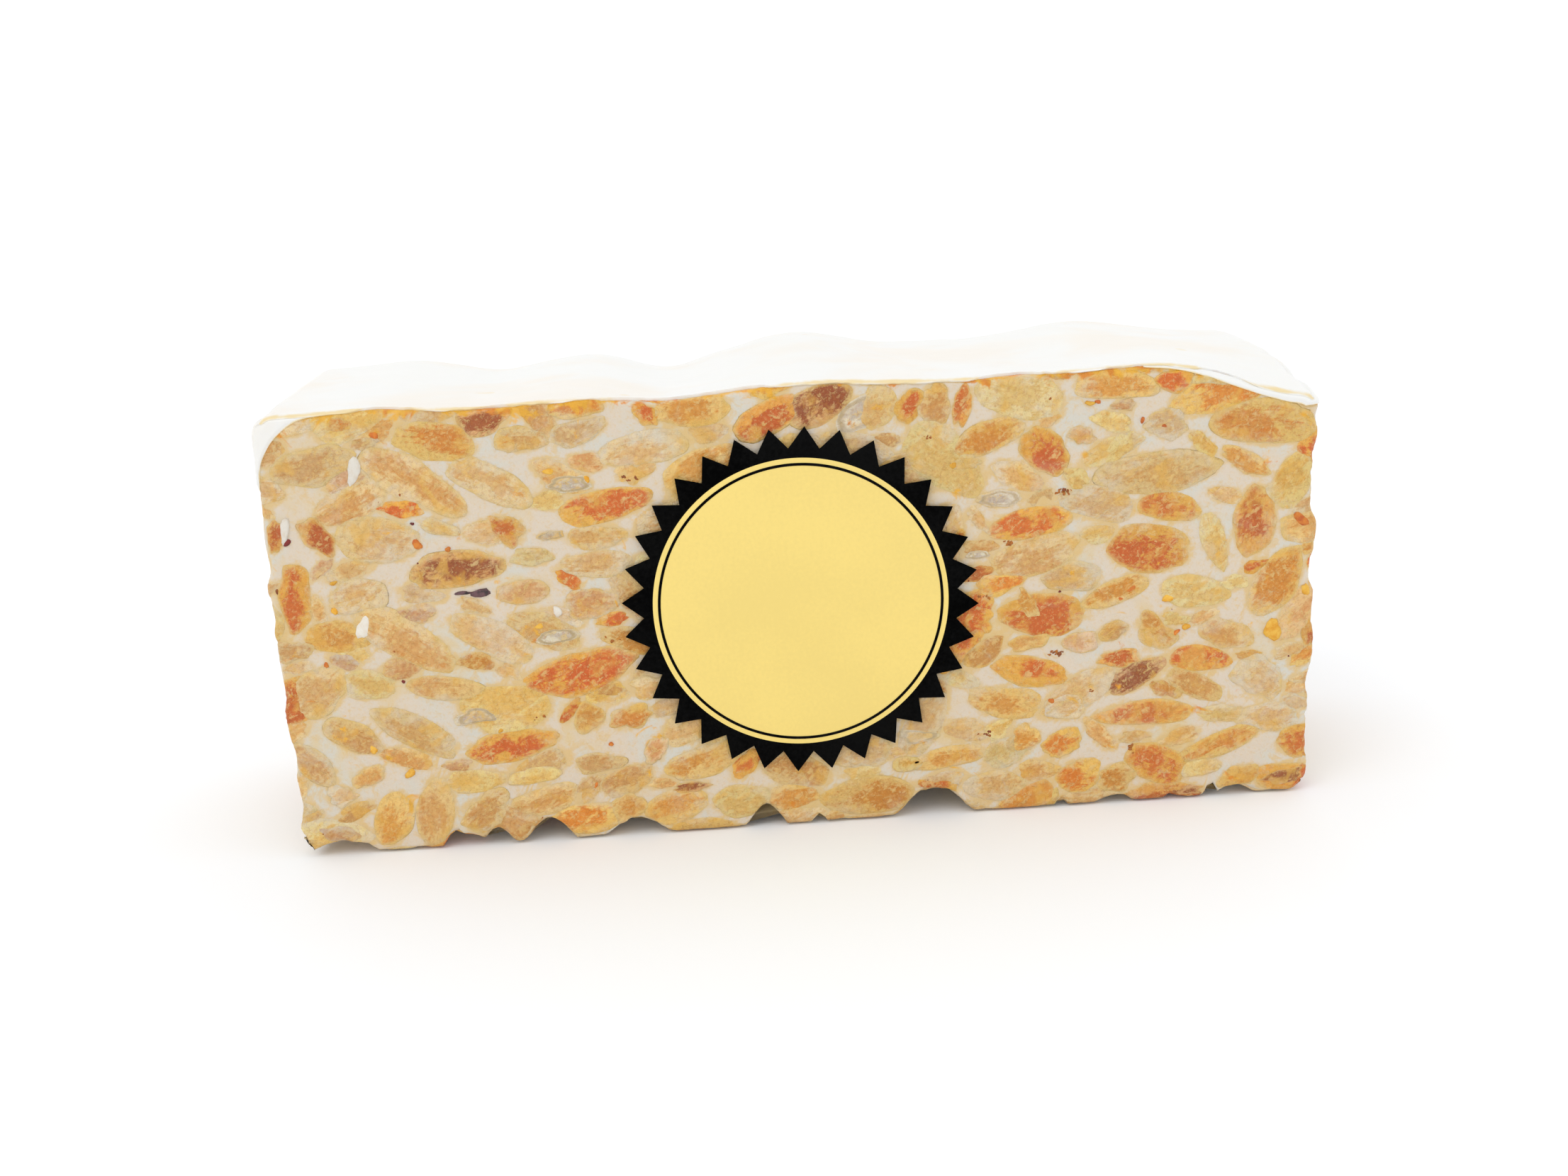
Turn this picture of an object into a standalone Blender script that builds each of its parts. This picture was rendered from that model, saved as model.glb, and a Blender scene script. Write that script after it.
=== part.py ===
"""An almond nougat bar, cut from a slab and stood on its uncut underside.

The bar's length runs along X, its two cut faces look along -Y and +Y, and it rests on Z = 0.
Three pieces: the nougat itself, the wafer that covers its top, and a round paper seal on its front.
"""

import math
import random

import bmesh
import bpy
from mathutils import Matrix

# Driving sizes, in metres.
LENGTH = 0.205
DEPTH = 0.060
HEIGHT = 0.0898
WAFER = 0.0007  # thickness of the wafer sheet
GAP = 0.0003  # left between pieces that touch
SEAL_RADIUS = 0.0352  # to the tips of the seal's teeth
SEAL_TEETH = 32
SEAL_TOOTH = 0.0042  # depth of a tooth
SEAL_PAPER = 0.0004
SEAL_X = 0.0
SEAL_Z = 0.0470
SEAL_TURN = math.radians(-3.7)  # the seal was put on a little askew

# How the slab's faces depart from a plain box.
CUT_EDGE = 0.0012  # softening of the edges round the two cut faces
CORNER_TOP = 0.0040  # rounding of the bar's outline at its upper corners
CORNER_FOOT = 0.0028  # and at its lower ones
END_BULGE = 0.0014  # how far the ends swell at half height
END_RIPPLE = 0.0006
WAFER_MARGIN = 0.0007  # how far the wafer stops short of the ends
FOOT_RECESS = 0.0048  # height of the hollows between the almonds underneath
FOOT_FLATTEN = 1.30  # above 1, an almond's lowest part is pressed flat on the table
SHOULDER_START = 0.072  # where the front of the top begins to sag towards +X
SHOULDER_DROP = 0.0066
FRONT_SHARE = 0.30  # share of a hump's rise that is left at the front edge

# Humps of the top over the almonds below it: place along X, spread, rise.
HUMPS = (
    (-0.096, 0.012, 0.0011),
    (-0.080, 0.010, 0.0018),
    (-0.060, 0.006, -0.0010),
    (-0.041, 0.009, 0.0013),
    (-0.024, 0.009, -0.0026),
    (0.004, 0.014, 0.0036),
    (0.066, 0.015, 0.0025),
    (0.100, 0.016, -0.0014),
)
# Almonds that show along the foot of the front face: place along X, half width.
FOOT_FRONT = (
    (-0.0915, 0.0128),
    (-0.0820, 0.0098),
    (-0.0690, 0.0050),
    (-0.0600, 0.0040),
    (-0.0436, 0.0092),
    (-0.0225, 0.0108),
    (-0.0045, 0.0072),
    (0.0111, 0.0125),
    (0.0405, 0.0110),
    (0.0530, 0.0092),
    (0.0695, 0.0095),
    (0.0795, 0.0062),
    (0.0930, 0.0118),
)
FOOT_REACH = 0.0120  # half length of a foot almond, front to back
FOOT_ROWS = 4  # rows of almonds behind the front one
FOOT_COLUMNS = 10
FOOT_SEED = 7

# How finely the bar is divided.
CUTS_X = 40
CUTS_Y = 12
CUTS_Z = 15

NOUGAT_COLOUR = (0.78, 0.58, 0.36, 1.0)
WAFER_COLOUR = (0.93, 0.92, 0.88, 1.0)
PAPER_COLOUR = (0.98, 0.76, 0.25, 1.0)


def clear_scene():
    """Removes the objects that the scene opens with."""
    for obj in list(bpy.data.objects):
        bpy.data.objects.remove(obj)


def material(name, colour, roughness):
    """A plain non-metal finish."""
    made = bpy.data.materials.new(name)
    made.use_nodes = True
    shader = made.node_tree.nodes["Principled BSDF"]
    shader.inputs["Base Color"].default_value = colour
    shader.inputs["Roughness"].default_value = roughness
    shader.inputs["Metallic"].default_value = 0.0
    return made


def smooth_step(value):
    """0 below 0, 1 above 1, and an even curve between them."""
    t = min(1.0, max(0.0, value))
    return t * t * (3.0 - 2.0 * t)


def foot_almonds():
    """(x, y, half width, half length) of each almond that stands proud of the underside."""
    front = -DEPTH / 2
    found = [(x, front + FOOT_REACH / 3, width, FOOT_REACH) for x, width in FOOT_FRONT]
    draw = random.Random(FOOT_SEED)
    row_pitch = DEPTH / (FOOT_ROWS + 0.5)
    column_pitch = LENGTH / FOOT_COLUMNS
    for row in range(FOOT_ROWS):
        y = front + row_pitch * (row + 1.0)
        for column in range(FOOT_COLUMNS):
            x = -LENGTH / 2 + column_pitch * (column + 0.5 + 0.25 * (row % 2))
            x += draw.uniform(-0.15, 0.15) * column_pitch
            width = draw.uniform(0.42, 0.56) * column_pitch
            found.append((x, y, width, draw.uniform(0.5, 0.65) * row_pitch))
    return found


FOOT = foot_almonds()


def foot_height(x, y):
    """Height of the underside: 0 under an almond, FOOT_RECESS where none reaches."""
    nearest = 0.0
    for centre_x, centre_y, width, reach in FOOT:
        off = ((x - centre_x) / width) ** 2 + ((y - centre_y) / reach) ** 2
        nearest = max(nearest, 1.0 - off)
    return FOOT_RECESS * max(0.0, 1.0 - FOOT_FLATTEN * nearest)


def top_height(x, y):
    """Height of the wafer's upper side: humps that grow towards the back, and a sag at one front corner."""
    back = (y + DEPTH / 2) / DEPTH
    rise = sum(h * math.exp(-(((x - place) / spread) ** 2)) for place, spread, h in HUMPS)
    sag = smooth_step((x - SHOULDER_START) / (LENGTH / 2 - SHOULDER_START)) * (1.0 - back) ** 2.5
    return HEIGHT + rise * (FRONT_SHARE + (1.0 - FRONT_SHARE) * back) - SHOULDER_DROP * sag


def soften_corner(x, z):
    """Rounds the bar's outline: in a corner's square, squares about the corner's centre become circles."""
    radius = CORNER_TOP if z > HEIGHT / 2 else CORNER_FOOT
    over_x = abs(x) - (LENGTH / 2 - radius)
    over_z = abs(z - HEIGHT / 2) - (HEIGHT / 2 - radius)
    if over_x <= 0 or over_z <= 0:
        return x, z
    shrink = max(over_x, over_z) / math.hypot(over_x, over_z)
    x = math.copysign(LENGTH / 2 - radius + over_x * shrink, x)
    z = HEIGHT / 2 + math.copysign(HEIGHT / 2 - radius + over_z * shrink, z - HEIGHT / 2)
    return x, z


def end_swell(side, y, z):
    """How far an end stands out at this depth and height."""
    height = z / HEIGHT
    ripple = math.sin(2 * math.pi * (2.6 * height + 0.3 * side)) * math.cos(45.0 * y)
    return END_BULGE * math.sin(math.pi * height) + END_RIPPLE * ripple


def settle(x, y, z):
    """Carries a point of the plain box, 0 to HEIGHT high, to its place in the real bar."""
    x, z = soften_corner(x, z)
    low, high = foot_height(x, y), top_height(x, y)
    share = x / (LENGTH / 2)
    x += math.copysign(end_swell(math.copysign(1, x), y, z) * abs(share) ** 5, x)
    return x, y, low + (high - low) * z / HEIGHT


def soften_cut_edge(point, low, high, radius):
    """Rounds all the edges of the box from low to high, by pulling each point onto a ball at its corner."""
    centre = [min(max(p, a + radius), b - radius) for p, a, b in zip(point, low, high)]
    off = [p - c for p, c in zip(point, centre)]
    length = math.sqrt(sum(d * d for d in off))
    if length < 1e-9:
        return tuple(point)
    return tuple(c + d * radius / length for c, d in zip(centre, off))


def divided_box(low, high, cuts, edge):
    """A box with its faces divided by evenly spaced planes, and one more plane near each end."""
    box = bmesh.new()
    size = [b - a for a, b in zip(low, high)]
    middle = [(a + b) / 2 for a, b in zip(low, high)]
    place = Matrix.Translation(middle) @ Matrix.Diagonal((*size, 1.0))
    bmesh.ops.create_cube(box, size=1.0, matrix=place)
    for axis in range(3):
        normal = [float(axis == i) for i in range(3)]
        span = size[axis] - 2 * edge
        places = [low[axis] + edge + span * i / cuts[axis] for i in range(cuts[axis] + 1)]
        for station in places if cuts[axis] > 1 else []:
            point = [station * n for n in normal]
            geometry = box.verts[:] + box.edges[:] + box.faces[:]
            bmesh.ops.bisect_plane(box, geom=geometry, plane_co=point, plane_no=normal)
    return box


def finish_object(name, box, finish):
    """Turns the bmesh into a smooth-shaded object with its material."""
    bmesh.ops.triangulate(box, faces=box.faces[:])
    bmesh.ops.recalc_face_normals(box, faces=box.faces[:])
    mesh = bpy.data.meshes.new(name)
    box.to_mesh(mesh)
    box.free()
    mesh.materials.append(finish)
    mesh.shade_smooth()
    mesh.set_sharp_from_angle(angle=math.radians(40))
    obj = bpy.data.objects.new(name, mesh)
    bpy.context.scene.collection.objects.link(obj)
    return obj


def build_block():
    """The nougat: a softened box carried to the bar's shape, ending just under the wafer."""
    low = (-LENGTH / 2, -DEPTH / 2, 0.0)
    high = (LENGTH / 2, DEPTH / 2, HEIGHT - WAFER - GAP)
    box = divided_box(low, high, (CUTS_X, CUTS_Y, CUTS_Z), CUT_EDGE)
    for vertex in box.verts:
        vertex.co = settle(*soften_cut_edge(vertex.co, low, high, CUT_EDGE))
    return finish_object("nougat_block", box, material("nougat", NOUGAT_COLOUR, 0.5))


def build_wafer():
    """The wafer sheet, which follows the top and bends down over its ends."""
    low = (-LENGTH / 2 + WAFER_MARGIN, -DEPTH / 2, HEIGHT - WAFER)
    high = (LENGTH / 2 - WAFER_MARGIN, DEPTH / 2, HEIGHT)
    box = divided_box(low, high, (CUTS_X, CUTS_Y - 4, 1), CUT_EDGE)
    for vertex in box.verts:
        vertex.co = settle(*vertex.co)
    return finish_object("wafer_sheet", box, material("wafer", WAFER_COLOUR, 0.6))


def build_seal():
    """The paper seal: a toothed disc, extruded and stood against the front face."""
    disc = bmesh.new()
    corners = []
    for i in range(2 * SEAL_TEETH):
        radius = SEAL_RADIUS - SEAL_TOOTH * (i % 2)
        turn = math.pi * i / SEAL_TEETH + math.pi / 2
        corners.append(disc.verts.new((radius * math.cos(turn), radius * math.sin(turn), 0.0)))
    face = disc.faces.new(corners)
    raised = bmesh.ops.extrude_face_region(disc, geom=[face])["geom"]
    moved = [g for g in raised if isinstance(g, bmesh.types.BMVert)]
    bmesh.ops.translate(disc, verts=moved, vec=(0.0, 0.0, SEAL_PAPER))
    seal = finish_object("paper_seal", disc, material("seal_paper", PAPER_COLOUR, 0.4))
    seal.location = (SEAL_X, -DEPTH / 2 - GAP, SEAL_Z)
    seal.rotation_euler = (math.pi / 2, -SEAL_TURN, 0.0)
    return seal


def main():
    """Builds the three pieces in place of what the scene opens with."""
    clear_scene()
    build_block()
    build_wafer()
    build_seal()


main()
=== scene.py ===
"""The looks of an almond nougat bar: creamy nougat full of cut almonds, a wafer lid and a paper seal.

Lengths are in metres unless a name or a docstring says otherwise. The bar's length runs along X, its
front cut face looks along -Y and it stands on Z = 0.
"""

from dataclasses import dataclass, field
from enum import Enum
import logging
import math
import random

import bpy
import numpy as np
from mathutils import Matrix

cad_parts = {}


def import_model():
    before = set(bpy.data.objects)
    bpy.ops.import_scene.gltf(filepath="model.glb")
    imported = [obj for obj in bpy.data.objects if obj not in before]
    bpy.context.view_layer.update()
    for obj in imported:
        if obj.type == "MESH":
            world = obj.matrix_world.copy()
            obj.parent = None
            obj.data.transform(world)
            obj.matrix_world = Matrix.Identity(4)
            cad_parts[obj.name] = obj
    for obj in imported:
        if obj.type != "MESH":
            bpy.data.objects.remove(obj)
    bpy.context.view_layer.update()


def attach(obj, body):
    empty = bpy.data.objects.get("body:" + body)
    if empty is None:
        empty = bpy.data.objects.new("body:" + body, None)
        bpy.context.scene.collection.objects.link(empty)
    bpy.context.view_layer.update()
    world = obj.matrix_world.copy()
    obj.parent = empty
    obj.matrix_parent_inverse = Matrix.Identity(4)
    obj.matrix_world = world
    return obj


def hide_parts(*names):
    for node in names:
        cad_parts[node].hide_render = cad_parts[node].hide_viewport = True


log = logging.getLogger("nougat")

MM = 0.001


# ---------------------------------------------------------------------------------------- colours


# A surface in the white room also mirrors a little of the room, and is lit a little above 1.
ROOM_SHEEN = 0.035
ROOM_GAIN = 1.08


def seen(red: float, green: float, blue: float) -> tuple[float, float, float, float]:
    """The base colour that shows on the screen as a colour of 0 to 255 under the room's light.

    Each channel goes back through the screen's curve, loses the room's sheen, and is divided by the
    room's gain.

    Args:
        red, green, blue: the screen colour.
    Returns:
        The base colour with an alpha of 1.
    """
    def one(value: float) -> float:
        """One channel.

        Args:
            value: the screen's, 0 to 255.
        Returns:
            The base colour's, 0 to 1.
        """
        share = value / 255.0
        plain = share / 12.92 if share <= 0.04045 else ((share + 0.055) / 1.055) ** 2.4
        return max(plain - ROOM_SHEEN, 0.002) / ROOM_GAIN

    return (one(red), one(green), one(blue), 1.0)


@dataclass(frozen=True)
class RoastLook:
    """How one roast of almond looks where the knife went through it.

    light and dark are screen colours. From 0 to 1, patch is how much of the dark shows, veil how much
    nougat is smeared over the almond's border, and ring how strong a pale line runs inside the rim.
    """

    light: tuple[int, int, int]
    dark: tuple[int, int, int]
    patch: float
    veil: float
    ring: float = 0.0


class Roast(Enum):
    """The roasts of almond in the slab, from blanched to nearly burnt."""

    PALE = RoastLook((229, 203, 155), (216, 164, 98), 0.42, 0.36)
    STRAW = RoastLook((233, 208, 141), (223, 173, 87), 0.42, 0.28)
    OLIVE = RoastLook((229, 205, 146), (214, 174, 98), 0.44, 0.30)
    TAN = RoastLook((230, 197, 138), (208, 146, 79), 0.52, 0.24)
    OCHRE = RoastLook((232, 194, 122), (211, 139, 59), 0.62, 0.20)
    AMBER = RoastLook((236, 194, 110), (219, 130, 28), 0.68, 0.14)
    ORANGE = RoastLook((232, 173, 82), (213, 106, 6), 0.84, 0.06)
    BROWN = RoastLook((228, 166, 86), (198, 102, 28), 0.88, 0.06)
    DARK = RoastLook((224, 174, 118), (158, 86, 48), 0.90, 0.08)
    ROSE = RoastLook((227, 192, 148), (209, 149, 96), 0.50, 0.34)
    HOLLOW = RoastLook((228, 216, 190), (190, 172, 156), 0.45, 0.35, 1.0)


# ------------------------------------------------------------------------------- shader expressions


class Value:
    """A shader socket that can be used in an arithmetic expression; each operator adds a Math node."""

    def __init__(self, shader: "Shader", socket: bpy.types.NodeSocket) -> None:
        """Wraps a socket of a shader."""
        self.shader = shader
        self.socket = socket

    def __add__(self, other: "Value | float") -> "Value":
        """self + other."""
        return self.shader.math("ADD", self, other)

    def __radd__(self, other: float) -> "Value":
        """other + self."""
        return self.shader.math("ADD", other, self)

    def __sub__(self, other: "Value | float") -> "Value":
        """self - other."""
        return self.shader.math("SUBTRACT", self, other)

    def __rsub__(self, other: float) -> "Value":
        """other - self."""
        return self.shader.math("SUBTRACT", other, self)

    def __mul__(self, other: "Value | float") -> "Value":
        """self * other."""
        return self.shader.math("MULTIPLY", self, other)

    def __rmul__(self, other: float) -> "Value":
        """other * self."""
        return self.shader.math("MULTIPLY", other, self)

    def clamp(self) -> "Value":
        """The value held between 0 and 1."""
        return self.shader.math("MINIMUM", self.shader.math("MAXIMUM", self, 0.0), 1.0)


class Shader:
    """Builds one Principled material from plain calls."""

    def __init__(self, name: str) -> None:
        """Starts a material.

        Args:
            name: the finish's name.
        """
        self.material = bpy.data.materials.new(name)
        self.material.use_nodes = True
        self.tree = self.material.node_tree
        self.principled = self.tree.nodes["Principled BSDF"]

    def node(self, kind: str, settings: dict | None = None, values: dict | None = None) -> bpy.types.Node:
        """Adds a node, applies its settings, then its values and links.

        Args:
            kind: the node's type.
            settings: attributes of the node, such as a Math node's operation.
            values: socket name or index to a constant or a Value.
        Returns:
            The node.
        """
        made = self.tree.nodes.new(kind)
        for name, setting in (settings or {}).items():
            setattr(made, name, setting)
        for key, value in (values or {}).items():
            self.plug(made.inputs[key], value)
        return made

    def plug(self, socket: bpy.types.NodeSocket, value: "Value | float | tuple") -> None:
        """Links a Value to a socket, or sets the socket's constant.

        Args:
            socket: the socket.
            value: the Value or the constant.
        """
        if isinstance(value, Value):
            self.tree.links.new(value.socket, socket)
        else:
            socket.default_value = value

    def output(self, node: bpy.types.Node, index: int = 0) -> Value:
        """One output of a node as a Value."""
        return Value(self, node.outputs[index])

    def math(self, operation: str, first: "Value | float", second: "Value | float") -> Value:
        """A Math node on two numbers."""
        node = self.node("ShaderNodeMath", {"operation": operation}, {0: first, 1: second})
        return self.output(node)

    def smooth(self, value: Value, low: float, high: float) -> Value:
        """An even curve between two values.

        Args:
            value: what is read.
            low, high: where the curve starts and ends.
        Returns:
            0 where value is under low, and 1 over high.
        """
        settings = {"interpolation_type": "SMOOTHSTEP"}
        values = {"Value": value, "From Min": low, "From Max": high}
        return self.output(self.node("ShaderNodeMapRange", settings, values))

    def blend(self, share: "Value | float", first: "Value | tuple", second: "Value | tuple") -> Value:
        """The first colour where share is 0, the second where it is 1."""
        node = self.node("ShaderNodeMix", {"data_type": "RGBA"}, {0: share, 6: first, 7: second})
        return self.output(node, 2)

    def place(self) -> Value:
        """The point on the piece, in metres."""
        return self.output(self.node("ShaderNodeTexCoord"), 3)

    def attribute(self, name: str, index: int = 2) -> Value:
        """An attribute of the mesh: 0 reads it as a colour, 1 as a vector and 2 as a number."""
        return self.output(self.node("ShaderNodeAttribute", {"attribute_name": name}), index)

    def shifted(self, point: Value, by: "Value | tuple") -> Value:
        """A point moved by a vector."""
        return self.output(self.node("ShaderNodeVectorMath", {"operation": "ADD"}, {0: point, 1: by}))

    def noise(self, point: Value, size: float, detail: float = 2.0, rough: float = 0.55,
              twist: float = 0.0) -> Value:
        """Smooth random values about 0.5.

        Args:
            point: where it is read.
            size: the width of one blotch, in the units of point; the node's own blotches are 0.5 wide.
            detail: how many finer layers are added.
            rough: how strong each finer layer is.
            twist: how far the pattern is pulled about.
        Returns:
            The value, 0 to 1.
        """
        values = {"Vector": point, "Scale": 0.5 / size, "Detail": detail, "Roughness": rough,
                  "Distortion": twist}
        return self.output(self.node("ShaderNodeTexNoise", {}, values))

    def scratches(self, point: Value, length: float, width: float) -> Value:
        """Fine marks that all run up to the right, as a blade leaves them: noise stretched that way.

        Args:
            point: where it is read.
            length, width: of one mark.
        Returns:
            The value, 0 to 1.
        """
        lengthwise, crosswise = (0.5, 0.5, 0.7), (-0.5, -0.5, 0.7)
        dots = [self.node("ShaderNodeVectorMath", {"operation": "DOT_PRODUCT"}, {0: point, 1: way})
                for way in (lengthwise, crosswise)]
        along, across = (self.output(dot, 1) for dot in dots)
        values = {0: along * (1.0 / length), 1: across * (1.0 / width)}
        return self.noise(self.output(self.node("ShaderNodeCombineXYZ", {}, values)), 1.0, 3.0, 0.6, 0.6)

    def bump(self, height: Value, distance: float, strength: float = 1.0) -> Value:
        """A normal bent by a height of 0 to 1 that stands for distance."""
        values = {"Strength": strength, "Distance": distance, "Height": height}
        return self.output(self.node("ShaderNodeBump", {}, values))

    def dress(self, **sockets: "Value | float | tuple") -> bpy.types.Material:
        """Sets the shader's own sockets.

        Args:
            sockets: a socket's name, with _ for a space, and its value.
        Returns:
            The material.
        """
        for name, value in sockets.items():
            title = name.replace("_", " ").title().replace("Ior", "IOR")
            self.plug(self.principled.inputs[title], value)
        return self.material


# ------------------------------------------------------------------------------------- mesh helpers


TABLE_SIZE = 4096  # random numbers that a field draws on; a power of 2, so that & picks one
MIXERS = (73856093, 19349663, 83492791)  # large primes that scatter a cube's corner over the table
LAYER_SHIFT = 17.3  # cubes between one layer's pattern and the next's


def random_field(points: np.ndarray, size: float, seed: int, layers: int = 1) -> np.ndarray:
    """Smooth random values from -1 to 1: random numbers at the corners of cubes, blended inside each.

    Args:
        points: where it is read, one row a point.
        size: edge of a cube.
        seed: chooses the pattern.
        layers: each further layer has cubes half as large and is half as strong.
    Returns:
        One value a point.
    """
    table = np.random.default_rng(seed).uniform(-1.0, 1.0, TABLE_SIZE)
    total = np.zeros(len(points))
    for layer in range(layers):
        cell = points / (size / 2 ** layer) + LAYER_SHIFT * layer
        corner = np.floor(cell).astype(np.int64)
        share = cell - corner
        share = share * share * (3.0 - 2.0 * share)
        for step in np.ndindex(2, 2, 2):
            at = corner + np.array(step)
            mixed = at[:, 0] * MIXERS[0] ^ at[:, 1] * MIXERS[1] ^ at[:, 2] * MIXERS[2]
            weight = np.prod(np.where(np.array(step) == 1, share, 1.0 - share), axis=1)
            total += table[mixed & (TABLE_SIZE - 1)] * weight * 0.5 ** layer
    return total


def smooth_step(value: np.ndarray) -> np.ndarray:
    """0 below 0, 1 above 1, and t * t * (3 - 2 t) between them."""
    share = np.clip(value, 0.0, 1.0)
    return share * share * (3.0 - 2.0 * share)


def along_line(places: np.ndarray) -> np.ndarray:
    """Points at the places along X, with Y and Z at 0."""
    return np.stack((places, np.zeros_like(places), np.zeros_like(places)), axis=1)


def ball_faces(count: int, rings: int, spokes: int) -> list[np.ndarray]:
    """The faces of several closed shells, each of rings between two poles.

    Their points are numbered in this order: the upper poles, each shell's rings, the lower poles.

    Args:
        count: shells.
        rings, spokes: rings of each, and points of a ring.
    Returns:
        The triangles at the upper poles, the four-sided faces and the triangles at the lower poles.
    """
    base = np.arange(count)[:, None, None] * rings * spokes + count
    bands = (base + grid_faces(rings, spokes, True)[None, :, ::-1]).reshape(-1, 4)
    spoke = np.arange(spokes)
    after = (spoke + 1) % spokes
    pole = np.broadcast_to(np.arange(count)[:, None], (count, spokes))
    first = base[:, :, 0]
    last = first + (rings - 1) * spokes
    tip = np.stack((pole, first + spoke, first + after), axis=-1).reshape(-1, 3)
    foot = np.stack((pole + count + count * rings * spokes, last + after, last + spoke), axis=-1)
    return [tip, bands, foot.reshape(-1, 3)]


def grid_faces(rows: int, columns: int, wrap: bool) -> np.ndarray:
    """The four-sided faces of a grid of points.

    Args:
        rows, columns: points each way.
        wrap: whether the last column joins the first.
    Returns:
        One row of four point numbers a face.
    """
    across = np.arange(columns if wrap else columns - 1)
    row, column = np.meshgrid(np.arange(rows - 1), across, indexing="ij")
    after = (column + 1) % columns
    near, far = row * columns, (row + 1) * columns
    corners = (near + column, near + after, far + after, far + column)
    return np.stack([corner.ravel() for corner in corners], axis=1)


def add_piece(name: str, points: np.ndarray, faces: list, finish: bpy.types.Material,
              replaces: str, attributes: dict | None = None, sharp: float = 180.0) -> None:
    """Makes a mesh object, dresses it, hangs it on the root body and hides the solid that it replaces.

    Args:
        name: the piece's name.
        points: one row a point.
        faces: arrays of faces, each array with one number of corners.
        finish: its material.
        replaces: the solid that the piece stands for.
        attributes: name to values at the points: numbers, vectors or colours.
        sharp: edges that bend by more degrees than this stay sharp.
    """
    mesh = bpy.data.meshes.new(name)
    mesh.from_pydata(points.tolist(), [], [face for group in faces for face in group.tolist()])
    mesh.materials.append(finish)
    mesh.shade_smooth()
    if sharp < 180.0:
        mesh.set_sharp_from_angle(angle=math.radians(sharp))
    kinds = {1: ("FLOAT", "value"), 3: ("FLOAT_VECTOR", "vector"), 4: ("FLOAT_COLOR", "color")}
    for key, values in (attributes or {}).items():
        width = 1 if values.ndim == 1 else values.shape[1]
        kind, member = kinds[width]
        attribute = mesh.attributes.new(key, kind, "POINT")
        attribute.data.foreach_set(member, values.astype(np.float32).ravel())
    piece = bpy.data.objects.new(name, mesh)
    bpy.context.scene.collection.objects.link(piece)
    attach(piece, "root")
    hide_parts(replaces)
    log.info("%s: %d faces", name, len(mesh.polygons))


# -------------------------------------------------------------------------------- shape of the bar


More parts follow.
